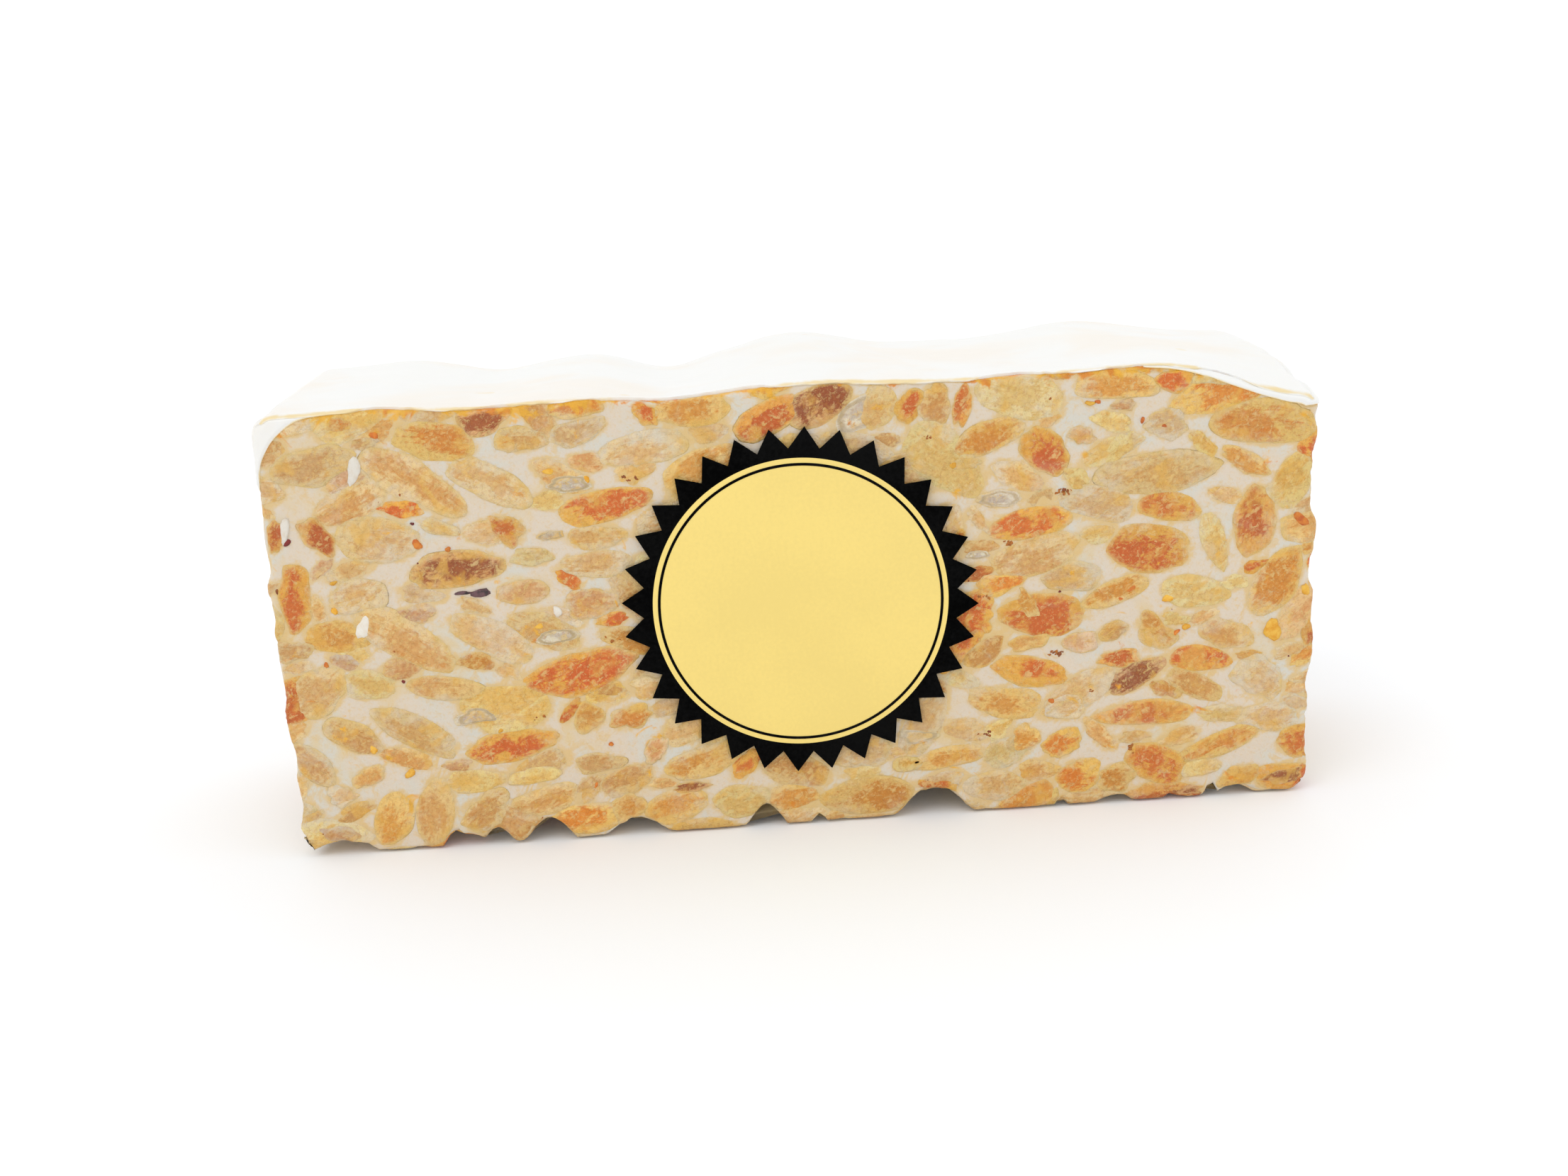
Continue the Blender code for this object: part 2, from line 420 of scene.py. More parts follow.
@dataclass
class BarForm:
    """The bar's outer shape, as a map from a plain box to the real surface.

    A place on the surface is (along, tall): along runs round the foot of the bar, from the front's left
    corner over the front, the right end, the back and the left end; tall is the height on that side.
    Past the top edge, tall goes on inwards over the top, and below the foot it goes on inwards
    underneath. up is the same for the plain box.
    """

    length: float = 0.205
    depth: float = 0.060
    height: float = 0.0898
    wafer_lift: float = 0.0004
    inset: float = 0.00033  # what the wafer's folds stand out at the sides, so that all stays in the box
    cut_edge: float = 0.0012
    corner_top: float = 0.0040
    corner_foot: float = 0.0028
    end_bulge: float = 0.0014
    end_ripple: float = 0.0006
    end_dent: float = 0.0013
    foot_recess: float = 0.0048
    foot_flatten: float = 1.30
    foot_reach: float = 0.0120
    foot_rows: int = 4
    foot_columns: int = 10
    foot_seed: int = 7
    shoulder_start: float = 0.072
    shoulder_drop: float = 0.0066
    front_share: float = 0.30
    fold: float = 0.0060  # how far in under the foot the real height takes to become the plain distance
    # Humps of the top: place along X, spread, rise.
    humps: tuple = (
        (-0.096, 0.012, 0.0011),
        (-0.080, 0.010, 0.0018),
        (-0.060, 0.006, -0.0010),
        (-0.041, 0.009, 0.0013),
        (-0.024, 0.009, -0.0026),
        (0.004, 0.014, 0.0036),
        (0.066, 0.015, 0.0025),
        (0.100, 0.016, -0.0014),
    )
    # Almonds along the foot of the front: place along X, half width.
    foot_front: tuple = (
        (-0.0915, 0.0128),
        (-0.0820, 0.0098),
        (-0.0690, 0.0050),
        (-0.0600, 0.0040),
        (-0.0436, 0.0092),
        (-0.0225, 0.0108),
        (-0.0045, 0.0072),
        (0.0111, 0.0125),
        (0.0405, 0.0110),
        (0.0530, 0.0092),
        (0.0695, 0.0095),
        (0.0795, 0.0062),
        (0.0930, 0.0118),
    )
    # Gaps between the almonds under the front's foot: place along X, half width, height.
    gaps: tuple = (
        (-0.1040, 0.0050, 0.0050), (-0.0950, 0.0080, 0.0030), (-0.0723, 0.0028, 0.0036),
        (-0.0690, 0.0048, 0.0024), (-0.0640, 0.0038, 0.0034), (-0.0535, 0.0056, 0.0048),
        (-0.0355, 0.0065, 0.0034), (-0.0090, 0.0045, 0.0042), (0.0015, 0.0018, 0.0020),
        (0.0255, 0.0085, 0.0060), (0.0518, 0.0016, 0.0018), (0.0630, 0.0050, 0.0015),
        (0.0745, 0.0020, 0.0013), (0.0828, 0.0018, 0.0024), (0.0885, 0.0050, 0.0019),
        (0.1030, 0.0040, 0.0016),
    )
    gap_reach: float = 0.016  # how far in a gap keeps its height
    gap_fade: float = 0.008  # over which it then runs out
    gap_round: float = 0.4  # 1 for a plain parabola, less for a narrower bell
    front_row: float = 0.002  # how far in the hollows between the other almonds start
    hollow_rise: float = 0.004  # over which they come to their full height
    foot_grit: float = 0.0005
    foot_grain: float = 0.0022
    crust_reach: float = 0.0022
    foot: np.ndarray = field(init=False)

    def __post_init__(self) -> None:
        """Works out the almonds that the bar stands on."""
        self.foot = self.foot_almonds()

    @property
    def top(self) -> float:
        """Height of the nougat's plain box, just under the wafer's upper side."""
        return self.height - self.wafer_lift

    @property
    def girth(self) -> float:
        """Length of the way round the foot of the bar."""
        return 2.0 * (self.length + self.depth)

    @property
    def corners(self) -> np.ndarray:
        """Where the bar's four corners, and the first one again, lie along it."""
        return np.cumsum([0.0, self.length, self.depth, self.length, self.depth])

    def way_round(self, off: np.ndarray) -> np.ndarray:
        """The shorter way round the bar for each difference of two places along it."""
        return (off + self.girth / 2) % self.girth - self.girth / 2

    def foot_almonds(self) -> np.ndarray:
        """Finds the almonds underneath: a row along the front, then rows in a loose stagger.

        Returns:
            x, y, half width and half length of each, one row an almond.
        """
        front = -self.depth / 2
        found = [(x, front + self.foot_reach / 3, width, self.foot_reach) for x, width in self.foot_front]
        draw = random.Random(self.foot_seed)
        row_pitch = self.depth / (self.foot_rows + 0.5)
        column_pitch = self.length / self.foot_columns
        for row in range(self.foot_rows):
            y = front + row_pitch * (row + 1.0)
            for column in range(self.foot_columns):
                x = -self.length / 2 + column_pitch * (column + 0.5 + 0.25 * (row % 2))
                x += draw.uniform(-0.15, 0.15) * column_pitch
                width = draw.uniform(0.42, 0.56) * column_pitch
                found.append((x, y, width, draw.uniform(0.5, 0.65) * row_pitch))
        return np.array(found)

    def foot_height(self, x: np.ndarray, y: np.ndarray) -> np.ndarray:
        """Height of the underside: near 0 under an almond, the full recess where none reaches.

        An almond's share is 1 less the square of the way from its middle. Near the front the gaps of
        the lower edge take over: bells along X, a parabola times itself in part, that run some way in.

        Args:
            x, y: the places.
        Returns:
            The heights.
        """
        nearest = np.zeros_like(x)
        for middle_x, middle_y, width, reach in self.foot:
            off_x, off_y = (x - middle_x) / width, (y - middle_y) / reach
            nearest = np.maximum(nearest, 1.0 - off_x ** 2 - off_y ** 2)
        hollow = self.foot_recess * smooth_step(1.0 - self.foot_flatten * nearest)
        inward = y + self.depth / 2
        gap = np.zeros_like(x)
        for middle, width, height in self.gaps:
            arch = np.maximum(0.0, 1.0 - ((x - middle) / width) ** 2)
            gap = np.maximum(gap, height * arch * (self.gap_round + (1.0 - self.gap_round) * arch))
        gap *= 1.0 - smooth_step((inward - self.gap_reach) / self.gap_fade)
        hollow *= smooth_step((inward - self.front_row) / self.hollow_rise)
        place = np.stack((x, y, np.zeros_like(x)), axis=1)
        rough = self.foot_grit * (random_field(place, self.foot_grain, 91, 2) - 0.2)
        return np.maximum(0.0, np.maximum(hollow, gap) + rough)

    def top_height(self, x: np.ndarray, y: np.ndarray) -> np.ndarray:
        """Height of the top: bell-shaped humps that grow towards the back, and a sag at a front corner.

        Args:
            x, y: the places.
        Returns:
            The heights.
        """
        back = np.clip((y + self.depth / 2) / self.depth, 0.0, 1.0)
        rise = sum(h * np.exp(-(((x - place) / spread) ** 2)) for place, spread, h in self.humps)
        share = (x - self.shoulder_start) / (self.length / 2 - self.shoulder_start)
        sag = smooth_step(share) * (1.0 - back) ** 2.5
        rise = rise * (self.front_share + (1.0 - self.front_share) * back)
        return self.height + rise - self.shoulder_drop * sag

    def round_edges(self, box: np.ndarray) -> np.ndarray:
        """Rounds the plain box's edges by pulling each point onto a ball at its corner.

        Args:
            box: points of the plain box.
        Returns:
            The same points on the rounded one.
        """
        low = np.array((-self.length / 2, -self.depth / 2, 0.0)) + self.cut_edge
        high = np.array((self.length / 2, self.depth / 2, self.top)) - self.cut_edge
        centre = np.clip(box, low, high)
        off = box - centre
        size = np.linalg.norm(off, axis=1, keepdims=True)
        return centre + off * self.cut_edge / np.maximum(size, 1e-12)

    def settle(self, box: np.ndarray) -> np.ndarray:
        """Carries points of the rounded box to the real bar.

        In the square at each corner of the outline, squares about the corner's centre become circles.
        The ends swell by a sine of the height, less their dents, and the height is stretched between
        underside and top. Then all is drawn in a little at the sides.

        Args:
            box: points of the plain box, 0 to height high.
        Returns:
            The same points on the bar.
        """
        x, y, z = box.T
        half, middle = self.length / 2, self.height / 2
        radius = np.where(z > middle, self.corner_top, self.corner_foot)
        over_x = np.abs(x) - (half - radius)
        over_z = np.abs(z - middle) - (middle - radius)
        inside = (over_x > 0) & (over_z > 0)
        size = np.maximum(np.hypot(over_x, over_z), 1e-12)
        shrink = np.where(inside, np.maximum(over_x, over_z) / size, 1.0)
        x = np.where(inside, np.copysign(half - radius + over_x * shrink, x), x)
        z = np.where(inside, middle + np.copysign(middle - radius + over_z * shrink, z - middle), z)
        low, high = self.foot_height(x, y), self.top_height(x, y)
        share = z / self.height
        ripple = np.sin(2 * math.pi * (2.6 * share + 0.3 * np.sign(x))) * np.cos(45.0 * y)
        swell = self.end_bulge * np.sin(math.pi * np.clip(share, 0.0, 1.0)) + self.end_ripple * ripple
        near_end = np.abs(x / half)
        x = x + np.copysign(swell * near_end ** 5 - self.dent(x, y, z) * near_end ** 12, x)
        shrink_x, shrink_y = 1.0 - self.inset / half, 1.0 - 2.0 * self.inset / self.depth
        return np.stack((x * shrink_x, y * shrink_y, low + (high - low) * share), axis=1)

    def dent(self, x: np.ndarray, y: np.ndarray, z: np.ndarray) -> np.ndarray:
        """How deep the rough ends are dented between their almonds: smooth random hollows."""
        place = np.stack((np.sign(x) * 0.05, y, z * 1.3), axis=1)
        return self.end_dent * smooth_step(0.5 + 0.9 * random_field(place, 0.0085, 77, 2))

    def box_place(self, along: np.ndarray, up: np.ndarray) -> np.ndarray:
        """The point of the plain box at (along, up), with up folded over the box's edges.

        x and y run round the rectangle of the foot, and what up has past an edge goes inwards, square to
        the side; past the far edge it goes down again.

        Args:
            along, up: the places.
        Returns:
            The points.
        """
        round_it = np.mod(along, self.girth)
        x = np.interp(round_it, self.corners, np.array([-1.0, 1.0, 1.0, -1.0, -1.0]) * self.length / 2)
        y = np.interp(round_it, self.corners, np.array([-1.0, -1.0, 1.0, 1.0, -1.0]) * self.depth / 2)
        side = np.clip(np.searchsorted(self.corners, round_it, side="right") - 1, 0, 3)
        inward = np.array([(0.0, 1.0), (-1.0, 0.0), (0.0, -1.0), (1.0, 0.0)])[side]
        across = np.where(side % 2 == 0, self.depth, self.length)
        over = np.clip(-up, 0.0, across) + np.clip(up - self.top, 0.0, across)
        down = np.clip(up - self.top - across, 0.0, self.top)
        z = np.clip(up, 0.0, self.top) - down
        return np.stack((x + inward[:, 0] * over, y + inward[:, 1] * over, z), axis=1)

    def surface(self, along: np.ndarray, tall: np.ndarray) -> np.ndarray:
        """The bar's surface at (along, tall)."""
        return self.settle(self.round_edges(self.box_place(along, self.box_up(along, tall))))

    def limits(self, along: np.ndarray) -> tuple[np.ndarray, np.ndarray]:
        """Heights of the bar's lower and upper edge at places along it."""
        x, y, _ = self.box_place(along, np.zeros_like(along)).T
        return self.foot_height(x, y), self.top_height(x, y)

    def upper_edge(self, along: np.ndarray) -> np.ndarray:
        """Height of the nougat's upper edge, under the wafer."""
        low, high = self.limits(along)
        return low + (high - low) * self.top / self.height

    def crust(self, points: np.ndarray) -> np.ndarray:
        """1 at the bar's upper edge, fading out over a few millimetres below it."""
        below = self.top_height(points[:, 0], points[:, 1]) - self.wafer_lift - points[:, 2]
        return np.exp(-np.maximum(below, 0.0) / self.crust_reach)

    def box_up(self, along: np.ndarray, tall: np.ndarray) -> np.ndarray:
        """The plain box's up for a real height: evenly stretched on a side, unchanged past its edges.

        Args:
            along, tall: the places.
        Returns:
            up of each.
        """
        low, high = self.limits(along)
        under_wafer = self.upper_edge(along)
        side = (tall - low) / (high - low) * self.height
        past_top = self.top + (tall - under_wafer)
        past_foot = np.where(tall < -self.fold, tall, (tall - low) * self.fold / (self.fold + low))
        return np.where(tall > under_wafer, past_top, np.where(tall < low, past_foot, side))

    def real_height(self, along: np.ndarray, up: np.ndarray) -> np.ndarray:
        """The real height of an up on the plain box: what box_up undoes.

        Args:
            along, up: the places on the plain box.
        Returns:
            tall of each.
        """
        low, high = self.limits(along)
        past_foot = np.where(up < -self.fold, up, low + up * (self.fold + low) / self.fold)
        return np.where(up < 0.0, past_foot, low + (high - low) * np.minimum(up, self.top) / self.height)

    def surface_and_normal(self, along: np.ndarray, tall: np.ndarray) -> tuple[np.ndarray, np.ndarray]:
        """The surface and the direction out of it, from the cross product of two short steps.

        Over the top and underneath, a step stops at the bar's corner, where this map has a jump.

        Args:
            along, tall: places on the surface.
        Returns:
            The points and the unit normals.
        """
        step, just_short = 0.0004, 1e-7
        turns = np.floor(along / self.girth) * self.girth
        side = np.clip(np.searchsorted(self.corners, along - turns, side="right") - 1, 0, 3)
        start, stop = turns + self.corners[side], turns + self.corners[side + 1] - just_short
        over = (tall > self.upper_edge(along)) | (tall < 0.0)
        before = np.where(over, np.maximum(along - step, start), along - step)
        after = np.where(over, np.minimum(along + step, stop), along + step)
        across = self.surface(after, tall) - self.surface(before, tall)
        upward = self.surface(along, tall + step) - self.surface(along, tall - step)
        normal = np.cross(across, upward)
        size = np.linalg.norm(normal, axis=1, keepdims=True)
        return self.surface(along, tall), normal / np.maximum(size, 1e-12)


# -------------------------------------------------------------------------------- where almonds lie


@dataclass
class Kernel:
    """One cut almond: its place on the bar, half length, half width, tilt in degrees and roast.

    Where two overlap, the one of lower rank (0 to 1) lies over the other.
    """

    along: float
    tall: float
    half_length: float
    half_width: float
    tilt: float
    roast: Roast
    rank: float = 0.0


def kernel_columns(kernels: list[Kernel]) -> np.ndarray:
    """The almonds' numbers as rows: along, tall, half length, half width, tilt in radians, rank."""
    return np.array([(k.along, k.tall, k.half_length, k.half_width, math.radians(k.tilt), k.rank)
                     for k in kernels]).T


# The almonds that stand out on the front, by roast, in millimetres and degrees:
# place along X, height, half length, half width, tilt.
FRONT_KERNELS: dict[Roast, tuple] = {
    Roast.DARK: (
        (-59, 87.2, 5.6, 3.1, 8), (-66.5, 57.8, 9.5, 3.6, 5), (5.5, 86.3, 7, 3.6, 22),
        # The almond at 78, 1.6 sits at the foot, under the bar: its dark is partly its own brown and
        # partly painted shade of the underside.
        (97.5, 3.4, 4.8, 1.7, 6), (78, 1.6, 3.3, 1, 0), (-24, 9.6, 4, 1.1, 5),
    ),
    Roast.BROWN: (
        (-92.5, 66, 4.4, 2.5, -50), (-100.5, 66.5, 3.2, 1.8, 80), (-4.5, 84, 6.5, 3.4, 25),
        (90.3, 58, 7.4, 4.3, 84), (68.5, 19, 10.2, 2.8, 0), (33, 84, 4, 1.8, 75),
        (101.5, 34, 3, 1.5, 85), (63.5, 31, 4.2, 1.8, 0),
    ),
    Roast.ORANGE: (
        (-56.5, 65.3, 4, 2.4, -38), (-97.8, 54, 7, 3, 86), (-45, 35.4, 11.5, 4.5, 12),
        (-37, 68.8, 9, 3.3, 8), (-59, 21, 9.5, 3.4, 8), (22.5, 84.5, 3.4, 2.5, 70),
        (48.7, 74.5, 5.5, 4, -45), (46, 60, 8.5, 3.2, 8), (73.5, 61.6, 6.5, 3, -12),
        (69.6, 53.4, 8.8, 4.9, -8), (34.5, 40.8, 4, 3, -20), (45.5, 29.6, 8, 3.2, -15),
        (71.3, 8, 6.4, 4.2, -25), (74.6, 86.6, 3.8, 2.2, 0), (-28, 86.2, 3, 1.8, -45),
        (31.5, 57.5, 2.5, 1.2, 70),
    ),
    Roast.AMBER: (
        (-68.5, 83.3, 8, 3.7, -12), (-41.3, 88.6, 5.5, 2.6, 3), (-86.3, 87.6, 2.8, 1.5, 0),
        (92, 77.3, 10.3, 4.6, -5), (-45.5, 4.5, 7, 3.4, 0), (84.3, 11.5, 8.8, 2.6, 18),
        (55.3, 6.5, 4.6, 3.6, 0), (51.8, 13.8, 4, 2.8, 30), (-35, 25.5, 4, 2.5, 20),
    ),
    Roast.OCHRE: (
        (-19.5, 86.6, 7.6, 3.6, 4), (38, 77.8, 7.5, 3.2, 20), (62.8, 86.5, 8, 3, -3),
        (88.5, 70, 5.5, 2.1, -30), (40.5, 23.4, 7.5, 3.3, -10), (-84.5, 7, 6.2, 3.7, 70),
        (-27.5, 5.5, 7, 3.5, 15), (-21.5, 15, 8, 3.3, 15), (12, 5.2, 9.5, 4.2, 3),
        (95, 45.3, 8, 4.5, 50), (62.7, 45, 7, 2.6, 20), (70.8, 36.5, 4.5, 3, -50),
        (28.5, 12.3, 7.5, 2.3, 8), (63, 5.5, 4, 3, 10), (44.3, 15.5, 3, 2.8, 0),
        (45.5, 43.5, 3.2, 2, -60), (-37, 6, 3.5, 3, 30), (-43.5, 26, 3.2, 3, 0),
        (88.5, 3.8, 4.5, 2.6, 20),
    ),
    Roast.TAN: (
        (-92, 80, 8.2, 3.7, 10), (-73, 75.3, 11.2, 4, -36), (-78.2, 44.5, 11, 4.1, -33),
        (-100, 43.5, 4, 2.2, -10), (-95.5, 34.5, 6.3, 4.5, 45), (-71.2, 33.8, 7.5, 2.5, -8),
        (-90, 25, 6, 3.2, -28), (-98.8, 19.5, 6, 3, -50), (-88, 16.4, 3.5, 2, 30),
        (-75.7, 8, 7.6, 3.9, 78), (-65.8, 7, 5.4, 3.8, 35), (27.8, 85, 4.3, 2.8, 88),
        (85, 34.8, 5.5, 3, -20), (78.8, 24.6, 6, 2.6, -28), (62.5, 37, 3, 2, 10),
        (45, 35.6, 4, 1.6, 5), (-54, 9, 7, 3, 12), (-42, 16, 5, 2, 3),
    ),
    Roast.PALE: (
        (-58.5, 74.5, 8.5, 3.4, -30), (-81, 64.8, 8, 4.6, -10), (-61.5, 43.5, 9, 3.4, -30),
        (-78, 25.3, 9, 3.3, -30), (-29, 79.5, 8.8, 3.2, 8), (-41, 83.6, 5.5, 2.3, 15),
        (-52, 82.6, 5, 2.4, 0), (-39, 62.7, 6, 2.3, 2), (-40, 57.3, 7, 2.7, 0),
        (-31, 31.5, 4, 2.4, 0), (-94, 12.6, 3, 2.2, 10), (71, 69, 12.3, 4.3, 2),
        (54, 48.6, 6, 3, 0), (92, 25, 5.5, 3.8, -40), (94, 16.4, 6.5, 3.2, 0),
        (16.5, 84.7, 4.3, 3.4, 60), (38, 5.5, 6.3, 3.5, 0), (73, 78.3, 4, 3, 0),
        (52.5, 21.5, 4.4, 2.8, 0), (-86, 53.5, 5.5, 3.4, 8),
    ),
    Roast.STRAW: (
        (-86, 35.5, 5, 3, -5), (-69.2, 66.5, 3.5, 1.5, -20), (82.6, 54, 6.2, 2.4, -75),
        (78.5, 44, 6.8, 3.5, -10), (98, 65.5, 6, 3.8, 60), (62.4, 79.3, 4, 2, -20),
        (33.5, 73, 3, 1.6, 0), (82.5, 86.6, 4.5, 1.3, 0), (-55, 14.4, 5, 1.8, 5),
        (-14, 6, 6, 3.5, 5), (20.5, 11.5, 3.4, 1.6, 0), (80.5, 6.4, 4.4, 1.8, 12),
    ),
    Roast.OLIVE: ((44.7, 85.4, 9, 4.2, -12), (-52, 59.5, 4, 1.9, 0), (84.5, 18, 4.4, 2, 0)),
    Roast.ROSE: (
        (-54.5, 52.5, 5, 2.5, 0), (-41, 49.5, 5.5, 2.9, 0), (-30.5, 18.3, 3, 2, 60),
        (56.3, 77, 2.6, 1.9, -10), (55.8, 35, 3.6, 2.2, 0), (-95, 4.2, 4.5, 2.2, -20),
        (64.5, 82.4, 2.2, 1.1, 0),
    ),
    Roast.HOLLOW: (
        (-43.7, 73.5, 4.5, 1.8, 0), (-48.7, 43.2, 4.2, 1.7, 0), (-65.5, 27.6, 4.3, 1.7, 0),
        (40, 65.4, 4.5, 1.8, 0), (22.5, 17.3, 4, 1.7, 0), (-48, 63.6, 2.5, 0.9, 0),
        (35.5, 54.4, 2.5, 0.8, 0),
    ),
}


@dataclass
class KernelLayout:
    """Where every almond lies: the chosen ones of the front, then others thrown into the free space."""

    form: BarForm
    seed: int = 11
    # An almond underfoot keeps this far from the bar's ends and sides, and is this much smaller than
    # its lump, sideways and front to back.
    foot_clear: tuple = (0.008, 0.006)
    foot_size: tuple = (0.86, 0.84)
    foot_tilt: float = 6.0
    # Half lengths that are thrown in turn, the largest first, and how many throws each gets.
    sizes: tuple = (9.5, 8.5, 7.5, 6.5, 5.5, 4.5, 3.5)
    throws: int = 2000
    slimness: tuple = (0.40, 0.58)
    upright_share: float = 0.16
    tilt_spread: float = 26.0
    overlap: float = 0.0017
    thrown_overlap: float = 0.6  # the most of its half width that a thrown almond may be covered by
    chosen_overlap: float = 0.32  # the same for a chosen one
    # The last almonds lie deeper, half hidden by the others, and are paler.
    deep_sizes: tuple = (7.0, 6.0, 5.0, 4.0)
    deep_throws: int = 1500
    deep_overlap: float = 0.0032
    deep_shares: tuple = (
        (Roast.PALE, 0.52), (Roast.STRAW, 0.18), (Roast.OLIVE, 0.05), (Roast.TAN, 0.15),
        (Roast.ROSE, 0.10),
    )
    # How common each roast is among the thrown almonds.
    shares: tuple = (
        (Roast.PALE, 0.26), (Roast.STRAW, 0.12), (Roast.OLIVE, 0.05), (Roast.TAN, 0.23),
        (Roast.OCHRE, 0.13), (Roast.AMBER, 0.07), (Roast.ORANGE, 0.08), (Roast.BROWN, 0.025),
        (Roast.DARK, 0.010), (Roast.ROSE, 0.04), (Roast.HOLLOW, 0.005),
    )
    near_reach: float = 0.7  # how far an almond's stain reaches into the nougat, in millimetres
    kernels: list = field(default_factory=list)

    def lay(self) -> None:
        """Lays the chosen almonds, the ones underfoot and the thrown ones."""
        for roast, rows in FRONT_KERNELS.items():
            for x, z, half_length, half_width, tilt in rows:
                along = x * MM + self.form.length / 2
                self.add(along, z * MM, half_length * MM, half_width * MM, tilt, roast)
        draw = np.random.default_rng(self.seed)
        self.lay_underfoot(draw)
        for number, size in enumerate(self.sizes):
            rank = 0.4 + 0.4 * number / (len(self.sizes) - 1)
            self.throw(draw, size * MM, rank, self.throws, self.overlap, self.shares)
        for size in self.deep_sizes:
            self.throw(draw, size * MM, 1.0, self.deep_throws, self.deep_overlap, self.deep_shares)

    def add(self, along: float, tall: float, half_length: float, half_width: float, tilt: float,
            roast: Roast, rank: float = 0.0) -> None:
        """Adds one almond."""
        self.kernels.append(Kernel(along, tall, half_length, half_width, tilt, roast, rank))

    def pick_roast(self, draw: np.random.Generator, shares: tuple) -> Roast:
        """Draws a roast by its share."""
        weights = np.array([share for _, share in shares])
        return shares[draw.choice(len(shares), p=weights / weights.sum())][0]

    def lay_underfoot(self, draw: np.random.Generator) -> None:
        """Puts an almond on each lump that the bar stands on, behind the front row.

        Args:
            draw: the random numbers.
        """
        half_length, half_depth = self.form.length / 2, self.form.depth / 2
        for x, y, width, reach in self.form.foot[len(self.form.foot_front):]:
            if abs(x) > half_length - self.foot_clear[0] or abs(y) > half_depth - self.foot_clear[1]:
                continue
            sizes = width * self.foot_size[0], reach * self.foot_size[1]
            self.add(x + half_length, -(y + half_depth), *sizes, draw.normal(0.0, self.foot_tilt),
                     self.pick_roast(draw, self.shares))

    def throw(self, draw: np.random.Generator, size: float, rank: float, throws: int, overlap: float,
              shares: tuple) -> None:
        """Throws almonds of one size at the four sides and keeps those that land clear of the others.

        Args:
            draw: the random numbers.
            size: half length of the largest.
            rank: how deep they lie.
            throws: how many are thrown.
            overlap: how far they may reach over others.
            shares: how common each roast is.
        """
        turn = np.linspace(0.0, 2 * math.pi, 12, endpoint=False)
        rim = np.concatenate(([[0.0, 0.0]], np.stack((np.cos(turn), np.sin(turn)), axis=1)))
        for _ in range(throws):
            along = draw.uniform(0.0, self.form.girth)
            tall = draw.uniform(-0.004, self.form.height + 0.001)
            half_length = size * draw.uniform(0.85, 1.1)
            half_width = half_length * draw.uniform(*self.slimness)
            tilt = draw.normal(0.0, self.tilt_spread)
            if draw.random() < self.upright_share:
                tilt = draw.uniform(0.0, 180.0)
            roast = self.pick_roast(draw, shares)
            cos, sin = math.cos(math.radians(tilt)), math.sin(math.radians(tilt))
            lengthwise, crosswise = rim.T * ((half_length,), (half_width,))
            points = np.stack((along + lengthwise * cos - crosswise * sin,
                               tall + lengthwise * sin + crosswise * cos), axis=1)
            if self.is_clear(points, overlap):
                self.add(along, tall, half_length, half_width, tilt, roast, rank)

    def is_clear(self, points: np.ndarray, overlap: float) -> bool:
        """Whether a thrown almond's rim and middle lie outside every almond so far.

        A point is inside an almond when its offset, turned to the almond's axes and divided by the
        half sizes, is shorter than 1.

        Args:
            points: rim points of the thrown almond.
            overlap: how far it may reach over other thrown almonds, at most.
        Returns:
            True when it is clear of all.
        """
        along, tall, half_length, half_width, tilt, rank = kernel_columns(self.kernels)
        share = np.where(rank > 0.0, np.minimum(overlap, self.thrown_overlap * half_width),
                         self.chosen_overlap * half_width)
        off_along = self.form.way_round(points[:, None, 0] - along)
        off_tall = points[:, None, 1] - tall
        cos, sin = np.cos(tilt), np.sin(tilt)
        lengthwise = (off_along * cos + off_tall * sin) / (half_length - share)
        crosswise = (-off_along * sin + off_tall * cos) / (half_width - share)
        return bool(np.all(lengthwise ** 2 + crosswise ** 2 > 1.0))

    def nearness(self, along: np.ndarray, tall: np.ndarray) -> np.ndarray:
        """How near each place is to an almond: e to the power of minus its way from the rim.

        Args:
            along, tall: the places.
        Returns:
            1 at a rim, falling to near 0 over about 2 mm.
        """
        far, window = 9.0, 0.016
        best = np.full(len(along), far)
        for kernel in self.kernels:
            off_along = self.form.way_round(along - kernel.along)
            off_tall = tall - kernel.tall
            close = (np.abs(off_along) < window) & (np.abs(off_tall) < window)
            off_along, off_tall = off_along[close], off_tall[close]
            cos, sin = math.cos(math.radians(kernel.tilt)), math.sin(math.radians(kernel.tilt))
            lengthwise = (off_along * cos + off_tall * sin) / kernel.half_length
            crosswise = (off_tall * cos - off_along * sin) / kernel.half_width
            reach = np.hypot(lengthwise, crosswise)
            gap = (reach - 1.0) * math.sqrt(kernel.half_length * kernel.half_width) / MM
            best[close] = np.minimum(best[close], gap)
        return np.exp(-np.maximum(best, 0.0) / self.near_reach)


# ------------------------------------------------------------------------------------------ finishes


